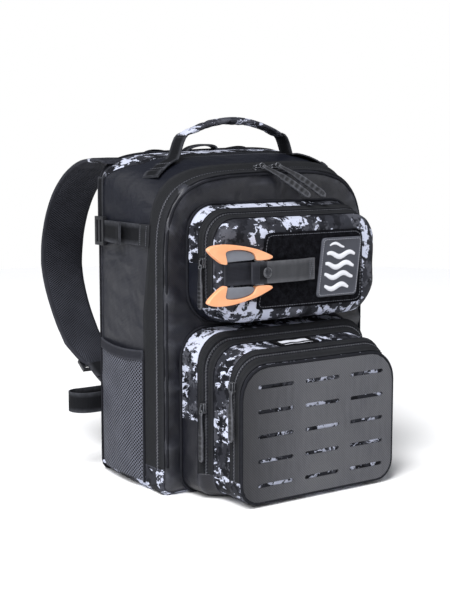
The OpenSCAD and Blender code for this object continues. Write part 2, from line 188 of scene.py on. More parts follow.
TOP_SEAM_Z = 300
BOTTOM_SEAM_Z = 14
THETA = np.radians(np.arange(-89.75, 270, 0.5))
DIRS = np.stack([np.cos(THETA), np.sin(THETA)], 1)


def support(outline):
    """An outline's outermost point in each of the directions."""
    return outline[np.argmax(DIRS @ outline.T, axis=1)]


FRONT_SUPPORT = support(front_outline())
BACK_SUPPORT = support(back_outline())


def bulge(y, high=1.8):
    """How far a full pack swells at a plane."""
    return high * math.sin(math.pi * share(y, -50, SHELL_BACK_Y))


def body_ring(y, out=0.0):
    """The body's section at a plane, from the middle of its bottom; out moves it outwards."""
    t = share(y, SHELL_FRONT_Y, SHELL_BACK_Y)
    p = (1 - t) * FRONT_SUPPORT + t * BACK_SUPPORT + (out + bulge(y)) * DIRS
    p[:, 1] += bulge(y, 4.5) * np.clip((p[:, 1] - 300) / 60, 0, 1)
    middle = np.array([[0, p[0, 1]]])
    return np.concatenate([middle, p, middle])


def ring_part(y, part, count):
    """One panel's stretch of the body's section: top, left, right or bottom."""
    p = resample(body_ring(y), 3000)
    x, z = p[:, 0], p[:, 1]
    if part == "top":
        return resample(p[z >= TOP_SEAM_Z], count)
    if part == "bottom":
        return below(body_ring(y), BOTTOM_SEAM_Z, count)
    on_part = x < 0 if part == "left" else x > 0
    return resample(p[on_part & (z <= TOP_SEAM_Z) & (z >= BOTTOM_SEAM_Z)], count)


def side_x(y, z):
    """How far the side stands out at a place."""
    p = resample(body_ring(y), 1500)[:750]
    p = p[p[:, 0] > 60]
    p = p[p[:, 1] > 12]
    return float(np.interp(z, p[:, 1], p[:, 0]))


def top_z(x, y):
    """How high the top stands at a place."""
    p = resample(body_ring(y), 1500)
    p = p[p[:, 1] > 250]
    p = p[np.argsort(p[:, 0])]
    return float(np.interp(x, p[:, 0], p[:, 1]))


# ---------- meshes ----------

def unit(v):
    """Vectors scaled to a length of 1."""
    v = np.asarray(v, float)
    return v / np.maximum(np.linalg.norm(v, axis=-1, keepdims=True), 1e-9)


def make(name, verts, faces, mats, index=None, uvs=None, sharp=None):
    """A mesh from millimetres.

    uvs is one pair of millimetres for each face corner, or None for box mapping.
    """
    me = bpy.data.meshes.new(name)
    me.from_pydata([tuple(v) for v in np.asarray(verts, float) * MM], [], [tuple(f) for f in faces])
    for m in mats if isinstance(mats, (list, tuple)) else [mats]:
        me.materials.append(m)
    if index is not None:
        me.polygons.foreach_set("material_index", np.asarray(index, np.int32))
    me.polygons.foreach_set("use_smooth", np.ones(len(me.polygons), bool))
    layer = me.uv_layers.new(name="cloth")
    if uvs is None:
        box_uv(me, layer)
    else:
        layer.data.foreach_set("uv", (np.asarray(uvs, float) * MM).ravel())
    if sharp:
        me.set_sharp_from_angle(angle=math.radians(sharp))
    ob = bpy.data.objects.new(name, me)
    bpy.context.scene.collection.objects.link(ob)
    return ob


def box_uv(me, layer):
    """Maps each face straight along the axis that it faces most."""
    co = np.array([v.co for v in me.vertices])
    for poly in me.polygons:
        n = poly.normal
        k = max(range(3), key=lambda i: abs(n[i]))
        a, b = ((1, 2), (0, 2), (0, 1))[k]
        for li in poly.loop_indices:
            p = co[me.loops[li].vertex_index]
            layer.data[li].uv = (p[a], p[b])


def grid(name, rows, mats, wrap=False, index=None, arc_uv=False, flip=False, fill=False, sharp=None):
    """A skin over rows of points. wrap closes each row; fill closes the last row with one face."""
    rows = np.asarray(rows, float)
    n_row, n_col = rows.shape[:2]
    verts = rows.reshape(-1, 3)
    faces, uvs, mat_index = [], [], []
    length = np.linalg.norm(np.diff(rows, axis=1), axis=2).mean(0)
    u = np.concatenate([[0], np.cumsum(length)])
    closing = float(np.linalg.norm(rows[:, 0] - rows[:, -1], axis=1).mean())
    u = np.concatenate([u, [u[-1] + closing]])
    v = np.concatenate([[0], np.cumsum(np.linalg.norm(np.diff(rows, axis=0), axis=2).max(1))])
    for r in range(n_row - 1):
        for c in range(n_col if wrap else n_col - 1):
            d = (c + 1) % n_col
            quad = [(r, c, u[c]), (r, d, u[c + 1]), (r + 1, d, u[c + 1]), (r + 1, c, u[c])]
            if flip:
                quad = quad[::-1]
            faces.append([a * n_col + b for a, b, _ in quad])
            uvs += [(w, v[a]) for a, _, w in quad]
            mat_index.append(index(r, c) if index else 0)
    if fill:
        last = [(n_row - 1) * n_col + c for c in range(n_col)]
        faces.append(last[::-1] if flip else last)
        uvs += [(0, 0)] * n_col
        mat_index.append(index(n_row - 2, 0) if index else 0)
    return make(name, verts, faces, mats, mat_index, uvs if arc_uv else None, sharp)


def dome(name, loop, levels, mats, count, inner, crown=0.0, facing=-1, index=None, walls=()):
    """A form with a closed front: walls, rings at (inset, y) levels, then rings towards the middle."""
    base = from_bottom(loop, count)
    half = (base.max(0) - base.min(0)) / 2
    rows = list(walls) + [lift(inset_loop(base, d), y) for d, y in levels]
    last_d, last_y = levels[-1]
    room = min(half) - last_d
    for k in range(1, inner + 1):
        s = 0.97 * k / inner
        y = last_y + facing * crown * math.sin(s * math.pi / 2)
        rows.append(lift(inset_loop(base, last_d + room * s), y))
    return grid(name, rows, mats, wrap=True, fill=True, flip=facing > 0, index=index)


def band(name, centre, across, width, thick, mats):
    """Webbing: a flat section swept along a path. across points over its width."""
    c = np.asarray(centre, float)
    a = unit(np.broadcast_to(np.asarray(across, float), c.shape))
    t = unit(np.gradient(c, axis=0))
    n = unit(np.cross(t, a))
    w, h, edge = width / 2, thick / 2, 0.4
    xs = [-w, -w + edge, -w / 2, 0, w / 2, w - edge, w]
    section = [(x, -h if 0 < i < 6 else 0) for i, x in enumerate(xs)]
    section += [(x, h) for x in xs[5:0:-1]]
    rows = np.array([c + a * x + n * y for x, y in section]).transpose(1, 0, 2)
    ob = grid(name, rows, mats, wrap=True, arc_uv=True, sharp=60)
    return cap_ends(ob, len(c), len(section))


def cap_ends(ob, rows, sides, flip=False):
    """Closes both ends of a swept mesh with so many rows of so many points."""
    first = list(range(sides))
    last = [(rows - 1) * sides + i for i in first]
    (last if flip else first).reverse()
    bm = bmesh.new()
    bm.from_mesh(ob.data)
    bm.verts.ensure_lookup_table()
    for ring in (first, last):
        face = bm.faces.new([bm.verts[i] for i in ring])
        face.smooth = False
    bm.to_mesh(ob.data)
    bm.free()
    return ob


def tube(name, path, r, mats, closed=False, sides=8, squash_y=1.0):
    """A round cord or piping along a path."""
    p = np.asarray(path, float)
    if closed:
        t = unit(np.roll(p, -1, 0) - np.roll(p, 1, 0))
    else:
        t = unit(np.gradient(p, axis=0))
    ref = np.array([0, 1.0, 0]) if abs(t[:, 1]).mean() < 0.7 else np.array([0, 0, 1.0])
    a = unit(np.cross(t, ref))
    b = unit(np.cross(a, t))
    ang = np.linspace(0, 2 * math.pi, sides, endpoint=False)
    r = np.broadcast_to(np.asarray(r, float), (len(p),))
    rows = p[:, None] + r[:, None, None] * (
        a[:, None] * np.cos(ang)[None, :, None] + b[:, None] * squash_y * np.sin(ang)[None, :, None]
    )
    if closed:
        rows = np.concatenate([rows, rows[:1]])
    ob = grid(name, rows, mats, wrap=True, arc_uv=True, flip=True)
    return ob if closed else cap_ends(ob, len(p), sides, flip=True)


def face_outwards(ob):
    """Turns every face of a closed mesh outwards."""
    bm = bmesh.new()
    bm.from_mesh(ob.data)
    bmesh.ops.recalc_face_normals(bm, faces=bm.faces)
    bm.to_mesh(ob.data)
    bm.free()
    return ob


def oval_sweep(name, c, a, n, widths, thicks, mats, sides, powers, index=None):
    """A rounded flat section swept along points c, with a over its width and n over its thickness."""
    ang = np.linspace(0, 2 * math.pi, sides, endpoint=False)
    cx = np.sign(np.cos(ang)) * np.abs(np.cos(ang)) ** powers[0]
    sx = np.sign(np.sin(ang)) * np.abs(np.sin(ang)) ** powers[1]
    w = np.asarray(widths, float)[:, None, None] / 2
    h = np.asarray(thicks, float)[:, None, None] / 2
    rows = c[:, None] + a[:, None] * w * cx[None, :, None] + n[:, None] * h * sx[None, :, None]
    ob = grid(name, rows, mats, wrap=True, arc_uv=True, index=index)
    return cap_ends(ob, len(c), sides)


def merge(name, objects):
    """Joins meshes into one piece; materials and maps are kept."""
    for o in bpy.context.selected_objects:
        o.select_set(False)
    for o in objects:
        o.select_set(True)
    bpy.context.view_layer.objects.active = objects[0]
    bpy.ops.object.join()
    objects[0].name = name
    objects[0].data.name = name
    return objects[0]


def blocks(name, centres, axes, sizes, mats, taper=0.75):
    """Many small tapered blocks in one mesh, such as zip teeth or stitches. axes is (n, 3, 3)."""
    c, ax, half = np.asarray(centres, float), np.asarray(axes, float), np.asarray(sizes, float) / 2
    corners = np.array([
        [-1, -1, -1], [1, -1, -1], [1, 1, -1], [-1, 1, -1], [-1, -1, 1], [1, -1, 1], [1, 1, 1], [-1, 1, 1]
    ], float)
    corners[4:, :2] *= taper
    local = corners * half
    verts = (c[:, None] + np.einsum("kj,njx->nkx", local, ax)).reshape(-1, 3)
    quads = np.array([[0, 3, 2, 1], [4, 5, 6, 7], [0, 1, 5, 4], [1, 2, 6, 5], [2, 3, 7, 6], [3, 0, 4, 7]])
    faces = (np.arange(len(c))[:, None, None] * 8 + quads).reshape(-1, 4)
    return make(name, verts, faces, mats, sharp=40)


def stitches(name, path, normal, mats, pitch, length, width=0.7, high=0.5):
    """A row of thread stitches along a path. normal is one direction, or one for each of some points."""
    p = np.asarray(path, float)
    total = np.linalg.norm(np.diff(p, axis=0), axis=1).sum()
    count = max(int(total / pitch), 2)
    mid = resample(p, count)
    t = unit(np.gradient(mid, axis=0))
    n = unit(np.broadcast_to(np.asarray(normal, float), mid.shape) if np.ndim(normal) == 1
             else resample(normal, count))
    side = unit(np.cross(n, t))
    axes = np.stack([t, side, unit(np.cross(t, side))], 1)
    return blocks(name, mid, axes, (length, width, high), mats)


def apply_modifiers(ob):
    """Makes a piece's modifiers part of its mesh."""
    bpy.context.view_layer.update()
    dg = bpy.context.evaluated_depsgraph_get()
    me = bpy.data.meshes.new_from_object(ob.evaluated_get(dg), preserve_all_data_layers=True, depsgraph=dg)
    ob.modifiers.clear()
    ob.data = me
    return ob


def thicken(ob, mm, lining=None):
    """Gives a skin its cloth thickness, inwards; lining is the material of the inner side."""
    mod = ob.modifiers.new("thickness", "SOLIDIFY")
    mod.thickness = mm * MM
    mod.offset = -1
    mod.use_even_offset = False
    if lining:
        ob.data.materials.append(lining)
        mod.material_offset = len(ob.data.materials) - 1
        mod.material_offset_rim = 0
    return apply_modifiers(ob)


def soften(ob, mm, segments=2):
    """Rounds the edges of a moulded part."""
    mod = ob.modifiers.new("edge", "BEVEL")
    mod.width = mm * MM
    mod.segments = segments
    mod.limit_method = "ANGLE"
    mod.angle_limit = math.radians(35)
    return ob


def vertex_arrays(ob):
    """A mesh's points, in millimetres, and their normals."""
    me = ob.data
    co = np.empty(len(me.vertices) * 3)
    me.vertices.foreach_get("co", co)
    no = np.empty(len(me.vertices) * 3)
    me.vertices.foreach_get("normal", no)
    return co.reshape(-1, 3) / MM, no.reshape(-1, 3)


def set_vertices(ob, co):
    """Puts millimetre points back into a mesh."""
    ob.data.vertices.foreach_set("co", (co * MM).ravel())
    ob.data.update()


def wrinkle(ob, high, size, seed, stretch=(1, 1, 1), mask=None):
    """Moves a skin along its normals by smooth noise, as handled cloth lies.

    size is a crease's size. stretch repeats the noise more often along an axis, and mask gives each
    place its share.
    """
    co, no = vertex_arrays(ob)
    scale = np.array(stretch, float) / size
    for i in range(len(co)):
        p = Vector(co[i] * scale) + Vector((seed * 3.7, seed * 1.9, seed * 5.3))
        amount = high * (noise.noise(p) + 0.45 * noise.noise(p * 2.3))
        if mask is not None:
            amount *= mask(co[i])
        co[i] += no[i] * amount
    set_vertices(ob, co)


def between_y(low, high):
    """A mask for wrinkle: 1 between two planes along Y, 0 elsewhere."""
    return lambda p: 1.0 if low < p[1] < high else 0.0


CLOTH_FRAMES = 20
CLOTH_STIFFNESS = 14


def puff(ob, pressure, cap, held):
    """Inflates a skin as cloth, held along its seams, with how far it may move capped."""
    co, _ = vertex_arrays(ob)
    pins = [i for i in range(len(co)) if held(co[i])]
    group = ob.vertex_groups.new(name="held")
    group.add(pins, 1.0, "REPLACE")
    mod = ob.modifiers.new("cloth", "CLOTH")
    s = mod.settings
    s.quality = 5
    s.mass = 0.2
    s.tension_stiffness = s.compression_stiffness = CLOTH_STIFFNESS
    s.shear_stiffness = CLOTH_STIFFNESS / 2
    s.bending_stiffness = 0.4
    s.use_pressure = True
    s.uniform_pressure_force = pressure
    s.effector_weights.gravity = 0
    s.vertex_group_mass = group.name
    mod.collision_settings.use_collision = False
    mod.point_cache.frame_start = 1
    mod.point_cache.frame_end = CLOTH_FRAMES
    scene = bpy.context.scene
    for f in range(1, CLOTH_FRAMES + 1):
        scene.frame_set(f)
    dg = bpy.context.evaluated_depsgraph_get()
    done = ob.evaluated_get(dg).to_mesh()
    new = np.array([v.co for v in done.vertices]) / MM
    ob.evaluated_get(dg).to_mesh_clear()
    ob.modifiers.remove(mod)
    ob.vertex_groups.remove(group)
    scene.frame_set(1)
    move = new - co
    far = np.linalg.norm(move, axis=1, keepdims=True)
    set_vertices(ob, co + move * np.minimum(1, cap / np.maximum(far, 1e-9)))


def mark_convexity(ob):
    """Stores how convex the mesh is at each vertex, which the materials read as rubbed edges, and on the
    orange grip also as painted highlights along its edges.
    """
    bm = bmesh.new()
    bm.from_mesh(ob.data)
    value = np.zeros(len(bm.verts))
    for e in bm.edges:
        if len(e.link_faces) == 2:
            turn = e.calc_face_angle_signed(0.0)
            for v in e.verts:
                value[v.index] += max(turn, 0)
    bm.free()
    value = np.clip((value - 0.35) * 1.1, 0, 1)
    me = ob.data
    layer = me.attributes.get("convexity") or me.attributes.new("convexity", "FLOAT", "POINT")
    layer.data.foreach_set("value", value.astype(np.float32))


def stand_on_floor(ob):
    """Flattens whatever would hang below the ground."""
    co, _ = vertex_arrays(ob)
    if co[:, 2].min() < FLOOR_GAP:
        co[:, 2] = np.maximum(co[:, 2], FLOOR_GAP)
        set_vertices(ob, co)


def place(ob, body, *nodes, slot=None, between=None):
    """Rides a piece on its body, or, given between, leaves it unattached with its transform baked where it
    stands, and hides the nodes that it stands for.
    """
    mark_convexity(ob)
    stand_on_floor(ob)
    if between:
        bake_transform(ob)
    else:
        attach(ob, body)
    if nodes:
        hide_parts(*nodes)
    return ob


# ---------- materials ----------

# How deep the soft folds of a cloth look. They are relief in the materials; wrinkle() moves the meshes
FOLD_MM = 8.0


class Shader:
    """A principled material and short names for its nodes."""

    def __init__(self, name, rough, specular, metallic=0.0):
        self.mat = bpy.data.materials.new(name)
        self.mat.use_nodes = True
        self.tree = self.mat.node_tree
        self.out = self.tree.nodes["Principled BSDF"]
        self.out.inputs["Roughness"].default_value = rough
        self.out.inputs["Specular IOR Level"].default_value = specular
        self.out.inputs["Metallic"].default_value = metallic

    def put(self, socket, value):
        """Links a value that is a socket, and sets any other."""
        if isinstance(value, bpy.types.NodeSocket):
            self.tree.links.new(value, socket)
        else:
            socket.default_value = value

    def node(self, kind, inputs=(), out=0, **settings):
        """Adds a node of a kind and gives one of its outputs."""
        n = self.tree.nodes.new("ShaderNode" + kind)
        for key, value in settings.items():
            setattr(n, key, value)
        for key, value in dict(inputs).items():
            self.put(n.inputs[key], value)
        return n.outputs[out]

    def math(self, op, a, b=0.0, clamp=False):
        return self.node("Math", {0: a, 1: b}, operation=op, use_clamp=clamp)

    def add(self, a, b, clamp=False):
        return self.math("ADD", a, b, clamp)

    def sub(self, a, b):
        return self.math("SUBTRACT", a, b)

    def mul(self, a, b, clamp=False):
        return self.math("MULTIPLY", a, b, clamp)

    def near(self, value, middle, reach):
        """1 where a value is within reach of the middle."""
        return self.math("LESS_THAN", self.math("ABSOLUTE", self.add(value, -middle)), reach)

    def ramp(self, value, low, high):
        """0 below low, 1 above high, straight between."""
        return self.node("MapRange", {"Value": value, "From Min": low, "From Max": high})

    def mix(self, factor, a, b):
        """Colour a where factor is 0, b where it is 1."""
        n = self.tree.nodes.new("ShaderNodeMix")
        n.data_type = "RGBA"
        self.put(n.inputs[0], factor)
        self.put(n.inputs[6], a)
        self.put(n.inputs[7], b)
        return n.outputs[2]

    def cloth(self):
        """The sewn piece's own flat coordinates, in metres."""
        return self.node("UVMap", uv_map="cloth")

    def spot(self):
        """The place in the object's own metres."""
        return self.node("TexCoord", out=3)

    def face(self):
        """Flat coordinates across and up, for a part that faces the front."""
        x, _, z = self.split(self.spot())
        return self.node("CombineXYZ", {0: x, 1: z})

    def split(self, vector):
        """The three parts of a vector."""
        n = self.tree.nodes.new("ShaderNodeSeparateXYZ")
        self.put(n.inputs[0], vector)
        return n.outputs[0], n.outputs[1], n.outputs[2]

    def noise(self, vector, size, detail=2.0, rough=0.5, distortion=0.0):
        """Noise with features about size metres across."""
        inputs = {"Vector": vector, "Scale": 1 / size, "Detail": detail, "Roughness": rough}
        return self.node("TexNoise", {**inputs, "Distortion": distortion})

    def stripes(self, value, pitch):
        """A triangle wave, 0 to 1, along a coordinate."""
        f = self.math("FRACT", self.math("DIVIDE", value, pitch))
        return self.mul(self.math("ABSOLUTE", self.sub(f, 0.5)), 2.0)

    def bump(self, height, strength, distance):
        """A normal from a height of 0 to 1, which stands for a distance in metres."""
        return self.node("Bump", {"Height": height, "Strength": strength, "Distance": distance})

    def folds(self, size, relief):
        """Long soft folds FOLD_MM deep, as a height for a bump whose distance is relief."""
        return self.mul(self.noise(self.spot(), size, 2, 0.5, distortion=0.25), FOLD_MM * MM / relief)

    def rub_and_highlight_edges(self, colour, edge, amount=0.5):
        """Rubs the colour lighter along the convex edges; on the orange grip the pale edge colour is also a
        painted highlight.
        """
        convexity = self.node("Attribute", out=2, attribute_name="convexity")
        rub = self.mul(convexity, self.noise(self.spot(), 0.006, 3))
        return self.mix(self.mul(rub, amount, True), colour, edge)

    def done(self, colour, normal=None, rough=None):
        """Connects what was worked out, and gives the material."""
        self.put(self.out.inputs["Base Color"], colour)
        if normal:
            self.put(self.out.inputs["Normal"], normal)
        if rough:
            self.put(self.out.inputs["Roughness"], rough)
        return self.mat


def rgb(code):
    """A screen colour, as RRGGBB, in the linear values that a shader takes."""
    c = [int(code[i:i + 2], 16) / 255 for i in (0, 2, 4)]
    return tuple(v / 12.92 if v <= 0.04045 else ((v + 0.055) / 1.055) ** 2.4 for v in c) + (1.0,)


def weave_height(s, uv, kind, pitch):
    """The relief of a cloth's yarns, 0 to 1."""
    u, v, _ = s.split(uv)
    if kind == "twill":
        ribs = s.stripes(s.add(u, v), pitch)
        cross = s.stripes(s.sub(u, v), pitch * 0.5)
        return s.add(s.mul(ribs, 0.75), s.mul(cross, 0.25))
    if kind == "plain":
        return s.mul(s.stripes(u, pitch), s.stripes(v, pitch))
    if kind == "webbing":
        # Chevrons across the width, as in woven strap
        chevron = s.mul(s.stripes(v, pitch * 4), pitch * 2)
        ribs = s.stripes(s.add(u, chevron), pitch)
        return s.add(s.mul(ribs, 0.7), s.mul(s.stripes(v, pitch), 0.3))
    # Ribs across a narrow tape
    return s.add(s.mul(s.stripes(u, pitch), 0.6), s.mul(s.stripes(v, pitch), 0.4))


def fabric(name, dark, light, kind, pitch, relief=0.00022, rough=0.85, specular=0.12, edge="5a5c66"):
    """Woven cloth between a dark and a light colour, uneven in tone, with folds and rubbed edges."""
    s = Shader(name, rough, specular)
    height = weave_height(s, s.cloth(), kind, pitch)
    patchy = s.noise(s.spot(), 0.045, 3, 0.6)
    fine = s.noise(s.spot(), 0.0012, 2)
    tone = s.add(s.mul(height, 0.75), s.mul(patchy, 0.4), True)
    colour = s.mix(tone, rgb(dark), rgb(light))
    colour = s.rub_and_highlight_edges(colour, rgb(edge))
    yarns = s.add(height, s.mul(fine, 0.5))
    surface = s.add(yarns, s.folds(0.036, relief))
    gloss = s.add(s.mul(patchy, 0.16), rough - 0.1)
    return s.done(colour, s.bump(surface, 0.55, relief), gloss)


# The camouflage is printed in dots of this size, in metres
PRINT_DOT = 0.0007


def camo(name, offset, white_over=0.55, size=1.0, plain_past=None):
    """Splashed camouflage: ragged white over black over two greys.

    offset is the place in the endless pattern, and past X = plain_past there is less white.
    """
    s = Shader(name, 0.70, 0.16)

    def vector(op, a, b):
        return s.node("VectorMath", {0: a, 1: b}, operation=op)

    dots = vector("SNAP", vector("ADD", s.spot(), offset), (PRINT_DOT, PRINT_DOT, PRINT_DOT))
    white = s.noise(vector("MULTIPLY", dots, (0.85, 0.6, 1.0)), 0.0105 * size, 7, 0.66, distortion=0.5)
    region = s.noise(dots, 0.040, 2, 0.5)
    white = s.add(white, s.mul(s.sub(region, 0.5), 0.60))
    if plain_past is not None:
        x, _, _ = s.split(s.spot())
        white = s.sub(white, s.mul(s.ramp(x, plain_past, plain_past + 0.01), 0.12))
    black = s.noise(vector("ADD", dots, (0.3, 0.1, 0.2)), 0.022 * size, 7, 0.66)
    grey = s.noise(vector("ADD", dots, (0.7, 0.4, 0.9)), 0.030 * size, 6, 0.64)
    height = weave_height(s, s.cloth(), "plain", 0.0013)
    dark_grey = s.mix(height, rgb("25262c"), rgb("32343c"))
    mid_grey = s.mix(height, rgb("45464d"), rgb("5b5d66"))
    colour = s.mix(s.ramp(grey, 0.52, 0.56), dark_grey, mid_grey)
    ground = s.mix(height, rgb("0e0f14"), rgb("191a22"))
    colour = s.mix(s.ramp(black, 0.52, 0.535), colour, ground)
    ink = s.mix(height, rgb("b9bed2"), rgb("dfe3f2"))
    colour = s.mix(s.ramp(white, white_over, white_over + 0.010), colour, ink)
    colour = s.rub_and_highlight_edges(colour, rgb("8a8c9a"), 0.25)
    return s.done(colour, s.bump(s.add(height, s.folds(0.030, 0.0002)), 0.5, 0.0002))


def net():
    """Diamond mesh: light threads over dark holes."""
    s = Shader("net_weave", 0.7, 0.18)
    pitch, slope = 0.0048, 1.1
    u, v, _ = s.split(s.cloth())
    a = s.stripes(s.add(u, s.mul(v, slope)), pitch)
    b = s.stripes(s.sub(u, s.mul(v, slope)), pitch)
    thread = s.ramp(s.math("MAXIMUM", a, b), 0.58, 0.90)
    patchy = s.noise(s.spot(), 0.03, 2)
    light = s.mix(patchy, rgb("565863"), rgb("7c7f8c"))
    colour = s.mix(thread, rgb("0b0c10"), light)
    return s.done(s.rub_and_highlight_edges(colour, rgb("6e707c"), 0.3), s.bump(thread, 0.8, 0.0005))


def pile():
    """The fuzzy field of a hook-and-loop fastener."""
    s = Shader("loop_field_pile", 0.95, 0.05)
    loops = s.noise(s.spot(), 0.0012, 3, 0.7)
    tufts = s.noise(s.spot(), 0.006, 2)
    tone = s.mul(loops, tufts)
    colour = s.mix(s.ramp(tone, 0.15, 0.45), rgb("08080b"), rgb("1d1e23"))
    return s.done(colour, s.bump(loops, 0.9, 0.0009))


def spacer():
    """Air mesh: a knitted face with rows of small openings."""
    s = Shader("air_mesh", 0.85, 0.12)
    pitch_u, pitch_v = 0.0042, 0.0032
    u, v, _ = s.split(s.cloth())
    row_a = s.mul(s.stripes(u, pitch_u), s.stripes(v, pitch_v))
    half_u = s.add(u, pitch_u / 2)
    half_v = s.add(v, pitch_v / 2)
    row_b = s.mul(s.stripes(half_u, pitch_u), s.stripes(half_v, pitch_v))
    hole = s.ramp(s.math("MAXIMUM", row_a, row_b), 0.35, 0.62)
    patchy = s.noise(s.spot(), 0.04, 2)
    colour = s.mix(hole, s.mix(patchy, rgb("282930"), rgb("484a53")), rgb("050507"))
    return s.done(colour, s.bump(s.sub(1.0, hole), 0.8, 0.0007))


def laminate():
    """Grey coated twill of the slotted panel."""
    s = Shader("slotted_panel_twill", 0.66, 0.22)
    height = weave_height(s, s.face(), "twill", 0.0030)
    x, _, z = s.split(s.spot())
    bands = s.noise(s.node("CombineXYZ", {0: s.mul(x, 6.0), 1: z}), 0.03, 2)
    cloudy = s.noise(s.spot(), 0.05, 3)
    tone = s.add(s.mul(height, 0.62), s.mul(bands, 0.5), True)
    colour = s.mix(tone, rgb("2a2a2e"), rgb("66676d"))
    colour = s.mix(s.ramp(cloudy, 0.3, 0.75), colour, s.mix(height, rgb("4b4b4f"), rgb("646569")))
    # Painted shade: the panel's colour darkens towards its left side
    painted_shade = s.mul(s.sub(1.0, s.ramp(x, -0.105, -0.02)), 0.72)
    colour = s.mix(painted_shade, colour, rgb("1d1d20"))
    return s.done(colour, s.bump(height, 0.5, 0.0004))


def moulded(name, dark, light, rough, specular, metallic=0.0, edge="8d8f98"):
    """Moulded plastic, rubber or coated metal, with a fine grain and rubbed edges; on the orange grip these
    edges are also painted highlights.
    """
    s = Shader(name, rough, specular, metallic)
    pores = s.noise(s.spot(), 0.0009, 2, 0.6)
    cloudy = s.noise(s.spot(), 0.02, 3)
    colour = s.rub_and_highlight_edges(s.mix(cloudy, rgb(dark), rgb(light)), rgb(edge), 0.6)
    gloss = s.add(s.mul(cloudy, 0.2), rough - 0.1)
    return s.done(colour, s.bump(pores, 0.35, 0.00015), gloss)


def brushed():
    """Steel with grinding marks across the blade."""
    s = Shader("blade_brushed", 0.3, 0.5, 1.0)
    x, y, z = s.split(s.spot())
    streak = s.noise(s.node("CombineXYZ", {0: s.mul(x, 12.0), 1: y, 2: z}), 0.004, 3)
    colour = s.mix(streak, rgb("9a9ca3"), rgb("d5d7dc"))
    return s.done(colour, s.bump(streak, 0.3, 0.0001), s.add(s.mul(streak, 0.2), 0.22))


def bands_label():
    """A blank woven label: plain bars of light thread on black."""
    s = Shader("woven_label_bands", 0.85, 0.1)
    x, y, _ = s.split(s.spot())
    threads = weave_height(s, s.cloth(), "plain", 0.0007)
    wide = s.near(y, -0.133, 0.0042)
    narrow = s.near(y, -0.1425, 0.0008)
    bar = s.math("MAXIMUM", wide, narrow)
    inside = s.near(x, -0.008, 0.020)
    colour = s.mix(s.mul(bar, inside), s.mix(threads, rgb("08080a"), rgb("17171b")), rgb("d9dbe4"))
    return s.done(colour, s.bump(threads, 0.6, 0.0002))


M = {
    "side": fabric("side_cloth", "12131a", "2b2d36", "plain", 0.0016, rough=0.50, specular=0.36),
    "shoulder": fabric("shoulder_cloth", "0b0d15", "1b1e2a", "plain", 0.0016, rough=0.50, specular=0.28),
    "front": fabric("front_twill", "0a0b10", "1c1d26", "twill", 0.0024, 0.0003, rough=0.44, specular=0.42),
    "lining": fabric("lining_cloth", "2b2c33", "4c4e58", "plain", 0.0012, rough=0.7),
    "webbing": fabric("webbing_weave", "08090b", "1b1c20", "webbing", 0.0020, 0.0004, edge="6c6e76"),
    "sleeve": fabric("sleeve_webbing", "2a2b2e", "505155", "webbing", 0.0020, 0.0004, edge="85868c"),
    "binding": fabric("binding_tape", "141519", "303138", "tape", 0.0015, 0.0003, edge="5a5c64"),
    "tape": fabric("zip_tape_weave", "0e0f11", "2a2b2e", "tape", 0.0017, 0.0003, edge="404146"),
    "piping": fabric("piping_cord", "0a0b0e", "1f2026", "tape", 0.0014, 0.0002, edge="2c2d33"),
    "thread": moulded("sewing_thread", "2c2d33", "4a4c54", 0.75, 0.2),
    "light_thread": moulded("light_thread", "8a8c94", "b9bbc3", 0.7, 0.3),
    "net": net(),
    "pile": pile(),
    "spacer": spacer(),
    "molle": laminate(),
    "plastic": moulded("black_plastic", "17181b", "2b2c31", 0.42, 0.5),
    "frame": moulded("frame_plastic", "1a1b1e", "2a2b30", 0.5, 0.45),
    "metal": moulded("zip_metal", "2c2d31", "4c4e54", 0.35, 0.6, metallic=0.85, edge="a0a2a8"),
    "teeth": moulded("zip_teeth", "212226", "4c4e55", 0.42, 0.5, edge="7c7e86"),
    "rubber": moulded("pull_rubber", "0f1013", "222327", 0.5, 0.4),
    "patch": moulded("patch_rubber", "34363e", "474952", 0.6, 0.35, edge="74767f"),
    "ink": moulded("patch_light_rubber", "d8dae2", "f0f1f6", 0.55, 0.35),
    # The orange grip's pale edge colour is partly a painted highlight along its convex edges, partly rubbing
    "orange": moulded("grip_orange", "f29c68", "fcbb90", 0.42, 0.45, edge="ffd6b8"),
    "insert": moulded("grip_grey_insert", "62656d", "7d8089", 0.7, 0.3),
    "steel": brushed(),
    "label": bands_label(),
    "camo_top": camo("camo_top", (0.013, 0.02, 0.0), 0.525),
    "camo_base": camo("camo_base", (0.243, 0.08, 0.37), 0.505, size=0.8),
    "camo_lid": camo("camo_lid", (0.51, 0.02, 0.13), plain_past=0.100),
    "camo_mid": camo("camo_mid", (0.33, 0.61, 0.07), size=0.75),
    "camo_grip": camo("camo_grip", (0.72, 0.12, 0.43)),
    "camo_side": camo("camo_side", (0.92, 0.31, 0.23)),
}


# ---------- camera, light and floor ----------

def put_looking(name, data, at, back):
    """Adds a camera or light at a place, looking away from the direction back."""
    ob = bpy.data.objects.new(name, data)
    ob.location = at
    ob.rotation_euler = Vector(back).to_track_quat("Z", "Y").to_euler()
    bpy.context.scene.collection.objects.link(ob)
    return ob


def camera_at_the_photo():
    """The camera's angle and lens were fitted to the photograph."""
    azimuth, pitch = math.radians(-34.8), math.radians(7.5)
    back = (math.sin(azimuth) * math.cos(pitch), -math.cos(azimuth) * math.cos(pitch), math.sin(pitch))
    camera = bpy.data.cameras.new("camera")
    camera.lens = 74.4
    camera.sensor_width = 36
    camera.sensor_fit = "AUTO"
    bpy.context.scene.camera = put_looking("camera", camera, (-0.865, -1.2296, 0.4033), back)


